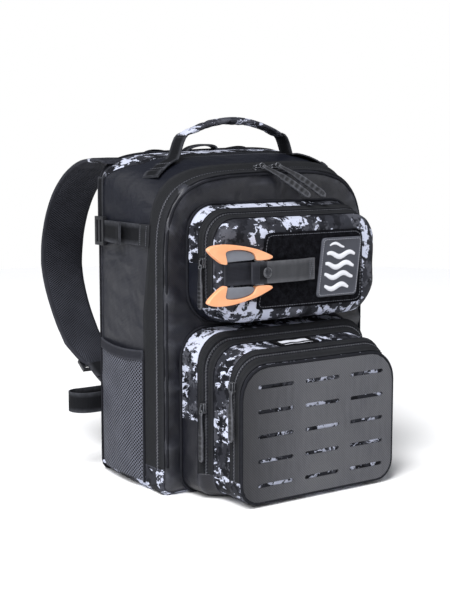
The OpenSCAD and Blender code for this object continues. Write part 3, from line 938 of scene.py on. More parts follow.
def studio_world():
    """Soft grey light from all round, behind a plain white backdrop."""
    world = bpy.data.worlds.new("studio")
    world.use_nodes = True
    tree = world.node_tree
    soft = tree.nodes["Background"]
    soft.inputs["Color"].default_value = (0.90, 0.93, 1.0, 1)
    soft.inputs["Strength"].default_value = 0.17
    backdrop = tree.nodes.new("ShaderNodeBackground")
    backdrop.inputs["Color"].default_value = (1, 1, 1, 1)
    backdrop.inputs["Strength"].default_value = 1.0
    path = tree.nodes.new("ShaderNodeLightPath")
    choose = tree.nodes.new("ShaderNodeMixShader")
    tree.links.new(path.outputs["Is Camera Ray"], choose.inputs[0])
    tree.links.new(soft.outputs[0], choose.inputs[1])
    tree.links.new(backdrop.outputs[0], choose.inputs[2])
    tree.links.new(choose.outputs[0], tree.nodes["World Output"].inputs["Surface"])
    bpy.context.scene.world = world


def lights():
    """A broad light from the upper left, and three panels that look at the pack's middle."""
    sun = bpy.data.lights.new("sky_panel", "SUN")
    sun.energy = 3.1
    sun.angle = math.radians(24)
    put_looking("sky_panel", sun, (0, 0, 0), (-0.55, -0.35, 1.0))
    target = Vector((0, 0, 0.2))
    for name, at, size, power in (
        ("key", (-1.5, -1.3, 1.1), 0.5, 15),
        ("fill", (1.5, -1.5, 0.8), 1.0, 7),
        ("rim", (-1.3, 1.0, 1.3), 0.9, 9),
    ):
        light = bpy.data.lights.new(name, "AREA")
        light.size = size
        light.energy = power
        put_looking(name, light, at, Vector(at) - target)


def paper_floor():
    """A round sheet of pale paper just under the pack's base."""
    paper = Shader("pale_floor", 0.9, 0.2)
    speck = paper.noise(paper.spot(), 0.4, 2)
    paper.done(paper.mix(speck, rgb("fbfbfc"), rgb("fdfdfd")))
    radius, points = 2400, 96
    turn = np.linspace(0, 2 * math.pi, points, endpoint=False)
    rim = np.stack([radius * np.cos(turn), radius * np.sin(turn), np.full(points, -0.4)], 1)
    floor = make("floor", rim, [list(range(points))], paper.mat)


bpy.context.scene.view_settings.view_transform = "Standard"
camera_at_the_photo()
studio_world()
lights()
paper_floor()


# ---------- main body ----------

Y_ROWS = np.linspace(SHELL_BACK_Y, SHELL_FRONT_Y, 40)
SHELL_T = 3.4
SHOULDER_Z = 303
CROWN_COLUMNS = 141


def side_creases(p):
    """Where a side panel may crease: clear of its strap, pocket and edges."""
    x, y, z = p
    middle = share(z, 160, 172) * share(z, 274, 264)
    upper = share(z, 314, 322) * share(z, 346, 336)
    across = share(y, -30, -20) * share(y, 62, 52)
    return (middle + upper) * across * (1 if abs(x) > 120 else 0)


def shell_panel(name, part, count, mat, node):
    """A panel of the body. Its faces above SHOULDER_Z are of the shoulders' cloth."""
    rows = [lift(ring_part(y, part, count), y) for y in Y_ROWS]

    def is_shoulder(r, c):
        x, _, z = rows[r][c]
        return 1 if z > SHOULDER_Z and abs(x) > 110 else 0

    skin = grid(name, rows, [mat, M["shoulder"]], index=is_shoulder)
    wrinkle(skin, 2.0, 44, 41, stretch=(1, 0.8, 1.5), mask=side_creases)
    return place(thicken(skin, SHELL_T, M["lining"]), "root", node, slot="shell_fabric")


shell_panel("left_side_skin", "left", 64, M["side"], "left_side_panel")
shell_panel("right_side_skin", "right", 64, M["side"], "right_side_panel")
shell_panel("bottom_skin", "bottom", 90, M["camo_side"], "bottom_panel")

TOP_YS = np.linspace(SHELL_FRONT_Y, SHELL_BACK_Y, 44)
TOP_TABLE = np.array([ring_part(y, "top", CROWN_COLUMNS) for y in TOP_YS])


def crown_seam(x):
    """Where the camouflage crown meets the plain shoulders, along Y."""
    s = np.clip((abs(x) - 112) / 32, 0, 1)
    return 15 + 51.5 * s * s * (3 - 2 * s)


def top_point(column, y, out=0.0):
    """A place on the top, or just above it, by its column of TOP_TABLE and its Y."""
    p = np.array([np.interp(y, TOP_YS, TOP_TABLE[:, column, k]) for k in (0, 1)])
    if out:
        ahead = TOP_TABLE[:, min(column + 1, CROWN_COLUMNS - 1)]
        behind = TOP_TABLE[:, max(column - 1, 0)]
        t = [np.interp(y, TOP_YS, ahead[:, k] - behind[:, k]) for k in (0, 1)]
        p = p + unit(np.array([t[1], -t[0]])) * out
    return (p[0], y, p[1])


def top_skin(name, y_back, y_front, steps, mat):
    """A piece of the top between two lines, which give Y for each column."""
    rows = []
    for k in range(steps + 1):
        rows.append([
            top_point(c, y_back(c) + (y_front(c) - y_back(c)) * k / steps) for c in range(CROWN_COLUMNS)
        ])
    return thicken(grid(name, rows, [mat]), SHELL_T, M["lining"])


def seam_of(column):
    """The crown seam's Y in a column; X is read halfway along the top."""
    return float(crown_seam(TOP_TABLE[22, column, 0]))


shoulders = top_skin("top_shoulders", seam_of, lambda c: SHELL_FRONT_Y, 28, M["shoulder"])
place(shoulders, "root", "top_panel", slot="shell_fabric")
crown = top_skin("top_crown", lambda c: SHELL_BACK_Y, seam_of, 20, M["camo_top"])
place(crown, "root", "top_panel", slot="camo_fabric")

seam_rows = []
columns = [c for c in range(14, 127) if abs(TOP_TABLE[22, c, 0]) < 95]
normals = [np.array(top_point(c, seam_of(c), 1.0)) - np.array(top_point(c, seam_of(c))) for c in columns]
for shift in (-1.6, -15.0):
    path = [top_point(c, max(seam_of(c) + shift, SHELL_FRONT_Y), 0.15) for c in columns]
    seam_rows.append(stitches("crown_stitch_row", path, normals, M["thread"], 3.4, 2.3, 0.6, 0.5))
ridge = [top_point(c, seam_of(c), -0.4) for c in range(12, 129)]
seam_rows.append(tube("crown_ridge", ridge, 1.1, M["piping"]))
place(merge("crown_seam", seam_rows), "root", slot="shell_fabric")

back = dome("back_skin", back_outline(), [(0, SHELL_BACK_Y), (-1.0, 70.4), (0.4, 73.4), (4.2, BACK_Y)],
            [M["front"]], 220, 24, facing=1)
wrinkle(back, 0.7, 38, 4, mask=between_y(BACK_Y - 1, BACK_Y + 1))
place(thicken(back, 3, M["lining"]), "root", "back_panel", slot="shell_fabric")


def piping(name, loop, y, body, count, r=1.7):
    """A covered cord sewn round an outline at a plane."""
    cord = tube(name, lift(from_bottom(loop, count), y), r, M["piping"], closed=True)
    place(cord, body, slot="shell_fabric")


piping("back_edge_piping", inset_loop(back_outline(), -1.0), 69.2, "root", 260, 1.5)

SLEEVE_FRONT_Y = 63.1
sleeve = dome("frame_sleeve_lining", rounded(126, 12, 356, 24, 44),
              [(0, 66.8), (0.4, 64.9), (1.8, 63.6), (4.5, SLEEVE_FRONT_Y)], [M["lining"]], 160, 16)
wrinkle(sleeve, 0.5, 45, 9, mask=between_y(SLEEVE_FRONT_Y - 0.3, SLEEVE_FRONT_Y + 0.3))
place(thicken(sleeve, 0.8), "root", "frame_sleeve", slot="shell_fabric")


# ---------- zips ----------

TOOTH_PITCH = 1.8


def zip_tape(name, loops, z_end, flip, slim):
    """One side of a zip: a woven tape over outlines that run away from the teeth.

    slim is (y, z_low, z_high): above z_low the tape draws in towards y, to half its width at z_high.
    """
    rows = [lift(above(loop, z_end, 320), y) for y, loop in loops]
    if slim:
        y, z_low, z_high = slim
        for row in rows:
            row[:, 1] -= (row[:, 1] - y) * 0.5 * np.clip((row[:, 2] - z_low) / (z_high - z_low), 0, 1)
    return thicken(grid(name, rows, [M["tape"]], arc_uv=True, flip=flip), 0.9)


def zip_teeth(name, loop, y_mid, side, z_end):
    """Every other tooth of a zip; side is +1 for the rear tape and -1 for the front one."""
    path = above(loop, z_end, 4000)
    total = np.linalg.norm(np.diff(path, axis=0), axis=1).sum()
    mids = resample(path, int(total / TOOTH_PITCH))[(1 if side > 0 else 0)::2]
    tangent = unit(np.gradient(mids, axis=0))
    t = np.stack([tangent[:, 0], np.zeros(len(mids)), tangent[:, 1]], 1)
    across = np.broadcast_to(np.array([0.0, 1.0, 0.0]), t.shape)
    out = np.cross(across, t) * -1
    centres = lift(mids, y_mid + side * 0.75) + out * 0.55
    axes = np.stack([t, across, out], 1)
    return blocks(name, centres, axes, (1.5, 2.5, 1.9), M["teeth"], taper=0.7)


def zip_pair(name, y_mid, z_end, loop, rear, front, bodies, nodes):
    """A whole zip: tape and teeth behind and in front of its parting plane."""
    for side, where, loops, body, node in ((1, "rear", rear, bodies[0], nodes[0]),
                                           (-1, "front", front, bodies[1], nodes[1])):
        slim = (SHELL_FRONT_Y, 205, 285) if name == "main_zip" and side > 0 else None
        tape = zip_tape(f"{name}_{where}", loops, z_end, flip=side > 0, slim=slim)
        teeth = zip_teeth(f"{name}_{where}_teeth", loop, y_mid, side, z_end)
        edges = [loops[1]] if slim else [loops[1], loops[-2]]
        rims = [tube("rim", lift(above(l, z_end, 260), y), 0.45, M["piping"], sides=6) for y, l in edges]
        place(merge(f"{name}_{where}", [tape, teeth] + rims), body, node, slot="zip_tape")


def body_loop(y, out):
    """The body's section at a plane as a closed outline."""
    return body_ring(y, out)[1:-1]


def upper_wall(y, inset=0.0):
    """The upper pocket's outline at y: its zip lies on a slope between the gusset and the lid."""
    return upper_outline(inset, float(np.interp(-y, (75, 92, 107.2), (0, 0.36, 1))))


LOWER_STEPS = (75, 105.2, 117.6, 148.6, 160.6, 167)
LOWER_NARROW = (0, 3.4, 12.3, 14.7, 15, 15)
LOWER_DROP = (0, 2.6, 15.4, 18.6, 29, 32)


def lower_wall(y, inset=0.0):
    """The lower pocket's outline at y, with a slope under each of its two zips."""
    return lower_outline(inset, float(np.interp(-y, LOWER_STEPS, LOWER_NARROW)),
                         float(np.interp(-y, LOWER_STEPS, LOWER_DROP)))


MAIN_MID = SHELL_FRONT_Y - ZIP_SPAN / 2
zip_pair(
    "main_zip", MAIN_MID, 30, front_outline(-0.4),
    [(-60.6, front_outline(0.2)), (-60.0, body_loop(-60, 0.7)), (-57, body_loop(-57, 0.8)),
     (-49, body_loop(-49, 0.8)), (-41, body_loop(-41, 0.8)), (-33.4, body_loop(-33.4, 0.7)),
     (-33.1, body_loop(-33.1, 0.0))],
    [(-62.5, front_outline(0.2)), (-63.1, front_outline(-0.3)), (-66, front_outline(-0.2)),
     (-69.5, front_outline(0.6)), (-72.0, front_outline(2.2)), (-72.2, front_outline(3.4))],
    ("root", "front_flap"), ("main_zip_rear_tape", "main_zip_front_tape"),
)


def pocket_zip(name, zip_y, z_end, wall, bodies, nodes, reach, front_reach):
    """A pocket's zip, with its tapes laid over the slope on both sides."""
    front_y = zip_y - ZIP_SPAN
    rear = [(zip_y - 0.6, wall(zip_y - 0.6, 0.2)), (zip_y, wall(zip_y, -0.8))]
    rear += [(zip_y + d, wall(zip_y + d, -0.9)) for d in (reach * 0.5, reach)]
    rear.append((zip_y + reach + 0.3, wall(zip_y + reach, 0.3)))
    front = [(front_y + 0.6, wall(front_y + 0.6, 0.2)), (front_y, wall(front_y, -0.8))]
    front += [(front_y - d, wall(front_y - d, -0.9)) for d in (front_reach * 0.5, front_reach)]
    front.append((front_y - front_reach - 0.3, wall(front_y - front_reach, 0.3)))
    zip_pair(name, zip_y - ZIP_SPAN / 2, z_end, wall(zip_y - ZIP_SPAN / 2, -0.4), rear, front, bodies, nodes)


pocket_zip("upper_zip", UPPER_ZIP_Y, 214, upper_wall, ("front_flap", "upper_lid"),
           ("upper_zip_rear_tape", "upper_zip_front_tape"), 6.4, 6.4)
pocket_zip("rear_zip", REAR_ZIP_Y, 30, lower_wall, ("front_flap", "middle_flap"),
           ("rear_zip_rear_tape", "rear_zip_front_tape"), 5.6, 5.6)
pocket_zip("front_zip", FRONT_ZIP_Y, 30, lower_wall, ("middle_flap", "molle_flap"),
           ("front_zip_rear_tape", "front_zip_front_tape"), 5.4, 8.9)


def gusset(name, z_top, steps, mat, back, front, slot):
    """Cloth below a zip's ends, which joins the two sides at the hinge. steps are (y, loop) from the back."""
    rows = [lift(below(loop, z_top, 150), y) for y, loop in steps]
    ob = thicken(grid(name, rows, [mat]), 1.0)
    return place(ob, back, slot=slot, between=(front, (0, steps[0][0], 0), (0, steps[-1][0], 0)))


gusset("main_hinge_gusset", 30.5, [(y, body_loop(max(y, -60), 0.9)) for y in (-34, -40, -46, -52, -56, -59)]
       + [(y, front_outline(i)) for y, i in ((-61.5, -0.9), (-64, -0.8), (-68, -0.6), (-72, 1.6))],
       M["camo_side"], "root", "front_flap", "shell_fabric")
for name, z_top, wall, mid_y, mat, back, front, slot in (
    ("upper", 215, upper_wall, -99.5, "camo_lid", "front_flap", "upper_lid", "camo_fabric"),
    ("rear", 30.5, lower_wall, -111.5, "front", "front_flap", "middle_flap", "shell_fabric"),
    ("front", 30.5, lower_wall, -154.5, "camo_mid", "middle_flap", "molle_flap", "camo_fabric"),
):
    steps = [(y, wall(y, -0.8)) for y in (mid_y + d for d in (8.5, 5.5, 2.5, 0, -2.5, -6, -8.5))]
    gusset(f"{name}_hinge_gusset", z_top, steps, M[mat], back, front, slot)


# ---------- front panel and pockets ----------

panel = dome("front_panel_skin", front_outline(0.4),
             [(0, -63.0), (0.2, -66.5), (1.4, -70.2), (4.2, -73.4), (8.5, -74.8), (15, -75.2)],
             [M["front"]], 280, 34)


def panel_margin(p):
    """Where the front panel may crease: round its pockets, but not at its edge."""
    x, y, z = p
    return max(share(abs(x), 96, 122), share(z, 318, 338) * 0.7) * share(y, -70, -74)


wrinkle(panel, 4.2, 30, 3, stretch=(0.55, 1, 1.35), mask=panel_margin)
wrinkle(panel, 2.4, 20, 6, stretch=(1, 1, 0.25),
        mask=lambda p: share(p[2], 326, 334) * share(p[2], 356, 348))
place(thicken(panel, 3.2, M["lining"]), "front_flap", "front_panel", slot="shell_fabric")
rim = from_bottom(front_outline(5.2), 300)
rim = rim[rim[:, 1] > 30]
place(tube("front_panel_piping", lift(rim, -74.4), 1.5, M["piping"]), "front_flap", slot="shell_fabric")


def gusset_skin(name, loop_at, ys, count, mats, index_z=0):
    """The wall of a pocket, lofted through its outlines. Below index_z it takes the second material."""
    loops = [from_bottom(loop_at(y), count) for y in ys]
    rows = [lift(np.concatenate([l, l[:1]]), y) for l, y in zip(loops, ys)]
    return grid(name, rows, mats, index=lambda r, c: 1 if loops[r][c % count][1] < index_z else 0)


def pocket_lid(name, loop_at, ys, levels, mat, inner):
    """A pocket lid: side walls that narrow forward, then a turned edge and a flat front."""
    walls = [lift(from_bottom(loop_at(y), 240), y) for y in ys]
    return dome(name, loop_at(ys[-1]), levels, [mat], 240, inner, walls=walls)


ys = np.linspace(-74.2, -98.2, 12)
base = gusset_skin("upper_pocket_gusset", upper_wall, ys, 200, [M["camo_base"], M["shoulder"]], 266)
wrinkle(base, 0.8, 24, 5, mask=between_y(-90, -77))
place(thicken(base, 1.8, M["lining"]), "front_flap", "upper_pocket_base", slot="camo_fabric")
piping("upper_pocket_piping", upper_outline(-1.0, 0), -76.4, "front_flap", 240)

lid = pocket_lid("upper_lid_skin", upper_wall, (-100.9, -104, -107.2, -110),
                 [(0.0, -112.6), (0.9, -115.4), (3.4, -118.8), (6.6, -121.4), (10.4, -123.3), (14.2, -124.3),
                  (18, -124.6)], M["camo_lid"], 16)
puff(lid, 2.5, 2.0, lambda p: p[1] > -109 or p[1] < -124.5)
wrinkle(lid, 0.7, 22, 7, mask=between_y(-123.9, -110))
place(thicken(lid, 2.0, M["lining"]), "upper_lid", "upper_pocket_lid", slot="camo_fabric")

ys = np.linspace(-74.2, -110.2, 16)
base = gusset_skin("lower_pocket_gusset", lower_wall, ys, 220, [M["camo_base"], M["front"]], 91)
wrinkle(base, 1.0, 26, 11, mask=between_y(-101, -78))
place(thicken(base, 1.8, M["lining"]), "front_flap", "lower_pocket_base", slot="camo_fabric")
piping("lower_pocket_piping", lower_outline(-1.0), -76.4, "front_flap", 260)

ys = np.linspace(-112.9, -153.2, 18)
wall = gusset_skin("middle_gusset", lower_wall, ys, 240, [M["camo_mid"]])
wrinkle(wall, 1.1, 26, 13, mask=between_y(-144, -122))
place(thicken(wall, 2.0, M["lining"]), "middle_flap", "middle_section", slot="camo_fabric")
wall = dome("compartment_wall", lower_outline(2.6, 12.4, 15.5), [(0, -116.2)], [M["lining"]], 160, 18)
wrinkle(wall, 0.5, 50, 15)
place(thicken(wall, 1.2), "middle_flap", "middle_section", slot="shell_fabric")

tray = pocket_lid("slotted_lid_skin", lower_wall, np.linspace(-155.9, -165.5, 6),
                  [(0.5, -166.5), (2.0, -167.0)], M["camo_mid"], 20)
place(thicken(tray, 2.0, M["lining"]), "molle_flap", "molle_lid", slot="camo_fabric")


def retouch(node, mat, edge, segments=2):
    """Gives a CAD part its material and rounded edges."""
    ob = NODES[node]
    ob.data.materials.clear()
    ob.data.materials.append(mat)
    soften(ob, edge, segments)


retouch("molle_panel", M["molle"], 0.9, 3)
piping("slotted_panel_piping", lower_outline(-0.2, 15, 32.6), -167.9, "molle_flap", 280)


def slab(name, polygon, y_back, y_front, mats, edge, segments):
    """A moulded plate: a polygon in the XZ plane made solid along Y, with rounded edges."""
    p = np.asarray(polygon, float)
    n = len(p)
    verts = np.concatenate([lift(p, y_back), lift(p, y_front)])
    faces = [list(range(n))[::-1], list(range(n, 2 * n))]
    faces += [[i, (i + 1) % n, n + (i + 1) % n, n + i] for i in range(n)]
    ob = make(name, verts, faces, mats)
    return apply_modifiers(soften(face_outwards(ob), edge, segments))


# ---------- loop field, snips and patch on the upper lid ----------

PILE_Y = -126.5
SLEEVE_W = 25

# The pile field is a little narrower towards its upper left
field_shape = [(-55, 213), (-50, 211.5), (88, 210.5), (95, 212), (98.5, 218), (99, 287), (97, 294), (91, 297),
               (-36, 297), (-42, 295), (-44, 288), (-49, 250)]
field = dome("loop_field", resample(field_shape, 400, True),
             [(0.0, -124.4), (0.0, -125.7), (0.6, -126.3), (2.2, PILE_Y)], [M["pile"]], 200, 22)
wrinkle(field, 0.35, 3.2, 21, mask=between_y(PILE_Y - 0.5, PILE_Y + 0.5))
place(field, "upper_lid", "loop_panel", slot="loop_pile")
border = from_bottom(inset_loop(from_bottom(np.array(field_shape), 240), 3.0), 240)
place(stitches("loop_field_stitches", lift(border, PILE_Y - 0.25), (0, -1, 0), M["thread"], 3.4, 2.4),
      "upper_lid", slot="loop_pile")

# A tongue runs from the field under the snips
xs = np.linspace(-99, -40, 30)
tongue_y = -126.4 - 0.9 * np.sin((xs + 99) / 59 * math.pi) ** 0.6
tongue = band("snips_tongue", np.stack([xs, tongue_y, np.full(30, SNIPS_Z)], 1), (0, 0, 1), 25.5, 1.8,
              M["binding"])
place(tongue, "upper_lid", "loop_panel", slot="webbing")


def sleeve_y(x):
    """The sleeve's height off the lid, as Y: over the snips, then down to its stitched end."""
    steps = ((-66, -133.4), (-60, -133.3), (-52, -133.1), (-40, -133.2), (-25, -133.3), (-8, -132.9),
             (4, -132.4), (11, -131.0), (16, -129.2), (20, -128.2), (25, -127.9))
    return np.interp(x, *zip(*steps))


xs = np.linspace(-66, 25, 70)
ripple = 0.25 * np.sin(xs * 0.16) + 0.18 * np.sin(xs * 0.41 + 1)
sleeve_path = np.stack([xs, sleeve_y(xs) + ripple, np.full(70, SNIPS_Z)], 1)
parts = [band("snips_sleeve_mouth", sleeve_path[:16], (0, 0, 1), SLEEVE_W, 1.6, M["webbing"]),
         band("snips_sleeve_web", sleeve_path[15:], (0, 0, 1), SLEEVE_W, 1.6, M["sleeve"])]
turned = ((-66, -131.6), (-66.9, -132.4), (-66.6, -133.6), (-63, -134.1), (-57, -133.9))
mouth = [(x, y, SNIPS_Z) for x, y in turned]
parts.append(band("hem", resample(mouth, 16), (0, 0, 1), SLEEVE_W, 1.1, M["binding"]))

# Two bars of stitches and a stroke between them
bar_low, bar_high, bar_xs = 243.5, 264.5, (17.5, 23.0)
for x in bar_xs:
    line = [(x, float(sleeve_y(x)) - 1.0, z) for z in np.linspace(bar_low, bar_high, 8)]
    parts.append(stitches("bar", line, (0, -1, 0), M["thread"], 2.1, 1.6, 0.8, 0.6))
stroke = zip(np.linspace(*bar_xs, 8), np.linspace(bar_low, bar_high, 8))
cross = [(x, float(sleeve_y(x)) - 1.0, z) for x, z in stroke]
parts.append(stitches("cross", cross, (0, -1, 0), M["thread"], 2.1, 1.6, 0.7, 0.6))


def ring_at(x, z, r):
    """A circle of 28 points."""
    turn = np.radians(np.linspace(0, 360, 29)[:-1])
    return np.stack([x + r * np.cos(turn), z + r * np.sin(turn)], 1)


stud_x = -46
parts.append(tube("stud_rim", lift(ring_at(stud_x, SNIPS_Z, 5.4), -134.3), 0.7, M["metal"], closed=True))
parts.append(dome("stud_cap", ring_at(stud_x, SNIPS_Z, 4.8), [(0, -133.8), (0.4, -134.6), (1.6, -135.0)],
                  [M["metal"]], 28, 3, crown=0.3))
place(merge("snips_sleeve_piece", parts), "upper_lid", "snips_sleeve", slot="webbing")


def cut_corners(loop):
    """A closed outline with its corners cut twice, so that it curves."""
    p = np.asarray(loop, float)
    for _ in range(2):
        after = np.roll(p, -1, axis=0)
        p = np.stack([0.75 * p + 0.25 * after, 0.25 * p + 0.75 * after], 1).reshape(-1, 2)
    return p


# A grip's outline above the pin: a bow over the finger pad, with a guard at its free end
BOW = [(-125, 28.5), (-123, 31), (-117, 33), (-106, 33.8), (-94, 33.2), (-82, 31.5), (-70, 29.2),
       (-58, 26.3), (-46, 21.7), (-39, 18.6), (-37.8, 16.8), (-40, 15), (-46, 14), (-60.5, 13.6),
       (-61.5, 17.5), (-64.5, 22.6), (-74, 25.8), (-84, 27.2), (-94, 27.2), (-102.6, 25.6), (-101, 19),
       (-99.5, 13.4), (-100.5, 11.6), (-104.5, 12), (-110, 15.2), (-116, 19.5), (-122, 24.5)]
PAD = [(-101.5, 15), (-99, 13.8), (-80, 14.6), (-65, 14.6), (-61.4, 16.4), (-64, 22), (-74, 25.2),
       (-84, 26.8), (-94, 27), (-102.4, 25.4), (-100.4, 18.5)]


def half_of_snips(outline, up):
    """An outline of the upper half (up 1), or its mirror image for the lower half (up -1)."""
    return cut_corners([(x, SNIPS_Z + up * z) for x, z in outline][::up])


for up, word, body in ((1, "upper", "snips_body"), (-1, "lower", "snips_moving_half")):
    grip = slab(f"snips_{word}_bow", half_of_snips(BOW, up), -126.9, -133.9, [M["orange"]], 2.4, 5)
    place(grip, body, f"snips_{word}_grip", slot="orange_grip")
    pad = slab(f"snips_{word}_finger_pad", half_of_snips(PAD, up), -127.6, -132.2, [M["insert"]], 1.0, 3)
    place(pad, body, slot="orange_grip")
    retouch(f"snips_{word}_lever", M["steel"], 0.3)
retouch("snips_pivot_pin", M["metal"], 0.3)


def leaning(loop):
    """The patch's sides lean to the right towards the top."""
    return np.stack([loop[:, 0] + 0.122 * (loop[:, 1] - 254), loop[:, 1]], 1)


square = leaning(from_bottom(rounded(29.3, 220, 288, 4, 4) + np.array([62, 0]), 160))
patch = dome("patch_body_plate", square,
             [(0, -126.8), (0, -128.9), (0.5, -129.5), (1.4, -129.8), (2.6, -129.8), (3.3, -129.4),
              (3.8, -129.1)], [M["patch"]], 160, 14)
parts = [patch, stitches("patch_stitch", lift(inset_loop(square, 2.0), -129.9), (0, -1, 0), M["light_thread"],
                         2.6, 1.8, 0.5, 0.4)]
wave_rows = ((279, 44, 66), (268, 41, 83), (256, 40, 83), (244, 40, 83), (231, 42, 78))
for row, (z, x_low, x_high) in enumerate(wave_rows):
    x = np.linspace(x_low, x_high, 40)
    wave = z + 2.4 * np.sin((x - x_low) / 44 * 2 * math.pi * 1.5 + row * 0.6)
    thick = 3.2 * np.sin(np.linspace(0.12, math.pi - 0.12, 40)) ** 0.35 * (0.55 if row == 0 else 1)
    crest = leaning(np.stack([x, wave], 1))
    parts.append(tube("wave", lift(crest, -129.0), thick, M["ink"], sides=12, squash_y=0.36))
place(merge("patch_piece", parts), "patch_body", "patch", slot="patch_rubber")


# ---------- woven label ----------

xs, ls = np.linspace(-36, 20, 24), np.linspace(-123.5, -146, 12)
label = [[(x, y, lower_wall(y)[:, 1].max() + 0.9 + 0.25 * math.sin(x * 0.3)) for x in xs] for y in ls]
label = thicken(grid("blank_label", label, [M["label"]], arc_uv=True), 0.8)
place(label, "middle_flap", "woven_label", slot="label_weave")


# ---------- sides ----------

def on_side(side, y, z, out):
    """A place on, or out from, the left (-1) or right (1) side panel."""
    return (side * (side_x(y, z) + out), y, z)


def side_band(name, side, ys, z_mid, outs, width, thick, mats):
    """Webbing that lies on a side panel along Y."""
    low, mid, high = (np.array([on_side(side, y, z, o) for y, o in zip(ys, outs)])
                      for z in (z_mid - 6, z_mid, z_mid + 6))
    return band(name, mid, high - low, width, thick, mats)


for side, word in ((-1, "left"), (1, "right")):
    z_mid = 293.5
    strap_y = np.linspace(-46, 68, 40)
    parts = [side_band("strap", side, strap_y, z_mid, np.full(40, 1.1), 25, 1.6, M["webbing"])]
    fold_y = np.linspace(-49, -29, 12)
    fold_out = 2.4 + 0.9 * np.sin(np.linspace(0, math.pi, 12))
    parts.append(side_band("fold", side, fold_y, z_mid, fold_out, 25.4, 1.3, M["tape"]))
    for y in (-45, -33):
        line = [on_side(side, y, z, 4.1) for z in np.linspace(283, 304, 8)]
        parts.append(stitches("bar", line, (side, 0, 0.12), M["thread"], 2.1, 1.6))
    tail_y = np.linspace(60, 0, 26)
    tail_out = 2.8 + 8.0 * np.linspace(0, 1, 26) ** 1.6 + 0.8 * np.sin(np.linspace(0, 5, 26))
    parts.append(side_band("tail", side, tail_y, z_mid, tail_out, 25, 1.6, M["webbing"]))
    hem_y = np.linspace(9, 0, 8)
    hem_out = np.interp(hem_y, tail_y[::-1], tail_out[::-1]) + 1.5
    parts.append(side_band("tail_hem", side, hem_y, z_mid, hem_out, 25, 1.3, M["webbing"]))
    place(merge(f"{word}_compression_strap", parts), "root", "compression_straps", slot="webbing")

    # A run of webbing up the back corner, from the lock to the root of the shoulder strap
    corner = [(side * (side_x(66, z) + 1.1), 66.5, z) for z in np.linspace(300, 356, 20)]
    place(band(f"{word}_corner_webbing", corner, (0, 1, 0), 12, 1.6, M["webbing"]), "root", slot="webbing")
retouch("compression_ladder_locks", M["plastic"], 0.7, 3)


def pocket_out(y, z):
    """How far the mesh pocket stands off the side panel."""
    along = math.sin(math.pi * share(y, -35, 66)) ** 0.55
    up = math.sin(math.pi * min(share(z, 10, 160) * 0.72 + 0.12, 1)) ** 0.7
    return 0.9 + 6.6 * along * (0.25 + 0.75 * up)


ys, zs = np.linspace(66, -34, 52), np.linspace(10, 152, 62)
rows = [[on_side(-1, y, z, pocket_out(y, z)) for z in zs[::-1]] for y in ys]
pocket = grid("mesh_pocket_net", rows, [M["net"]])
wrinkle(pocket, 0.9, 26, 31, stretch=(1, 1.6, 0.7))
place(thicken(pocket, 0.7), "root", "mesh_pocket", slot="mesh")
hem = [on_side(-1, y, 155 - 3.5 * math.cos((y - 8) / 58 * math.pi / 2) + 3, pocket_out(y, 152) + 0.5)
       for y in np.linspace(67, -34.5, 50)]
hem = band("mesh_pocket_hem", hem, (0.06, 0, 1), 12, 2.0, M["binding"])
place(hem, "root", "mesh_pocket", slot="webbing")
edge = [on_side(-1, -34.5, z, 1.4) for z in np.linspace(8, 158, 40)]
place(tube("mesh_pocket_front_seam", edge, 1.5, M["piping"]), "root", slot="shell_fabric")
edge = [on_side(-1, y, 11.0, 1.0) for y in np.linspace(67, -35, 40)]
place(tube("mesh_pocket_bottom_seam", edge, 1.9, M["camo_side"]), "root", slot="camo_fabric")


def side_pocket_out(a, b):
    """How far the right pocket stands out, at shares -1 to 1 of its half depth and half height."""
    return 0.4 + 18.5 * ((1 - abs(a) ** 3.2) * (1 - abs(b) ** 4)) ** 0.55


def side_pocket_point(a, b):
    """A place on the right pocket, whose outline swells a little at its middle."""
    y = 1 + 57 * a * (1 - 0.06 * b ** 4)
    return on_side(1, y, 133 + 125 * b * (1 - 0.03 * a ** 4), side_pocket_out(a, b))


def across_pocket(z, out, count):
    """A level run over the right pocket, from its front to its back."""
    return [on_side(1, y, z, side_pocket_out((y - 1) / 57, (z - 133) / 125) + out)
            for y in np.linspace(-37, 39, count)]


rows = [[side_pocket_point(a, b) for b in np.linspace(-1, 1, 96)] for a in np.linspace(-1, 1, 56)]
pocket = grid("right_pocket_skin", rows, [M["camo_side"]], flip=True)
wrinkle(pocket, 1.2, 30, 33, mask=lambda p: share(p[0], 149, 157))
place(thicken(pocket, 1.6, M["lining"]), "root", "right_side_pocket", slot="camo_fabric")
parts = [band("tape", across_pocket(z, 0.5, 40), (-0.25, 0, 1), 8.0, 0.9, M["tape"]) for z in (221, 230)]
axes = np.broadcast_to(np.array([[0, 1.0, 0], [0, 0, 1.0], [1.0, 0, 0]]), (44, 3, 3))
parts.append(blocks("teeth", across_pocket(225.5, 1.0, 44), axes, (1.2, 3.4, 1.6), M["teeth"]))
place(merge("right_pocket_zip", parts), "root", slot="zip_tape")


# ---------- sliders and pulls ----------

PULL_W = 8.0


def bar_sweep(name, path, across, widths, thicks, mats, sides=14, power=0.6):
    """A moulded bar with a rounded flat section that changes along its path."""
    c = np.asarray(path, float)
    a = unit(np.broadcast_to(np.asarray(across, float), c.shape))
    t = unit(np.gradient(c, axis=0))
    n = unit(np.cross(t, a))
    a = unit(np.cross(n, t))
    return oval_sweep(name, c, a, n, widths, thicks, mats, sides, (power, power))


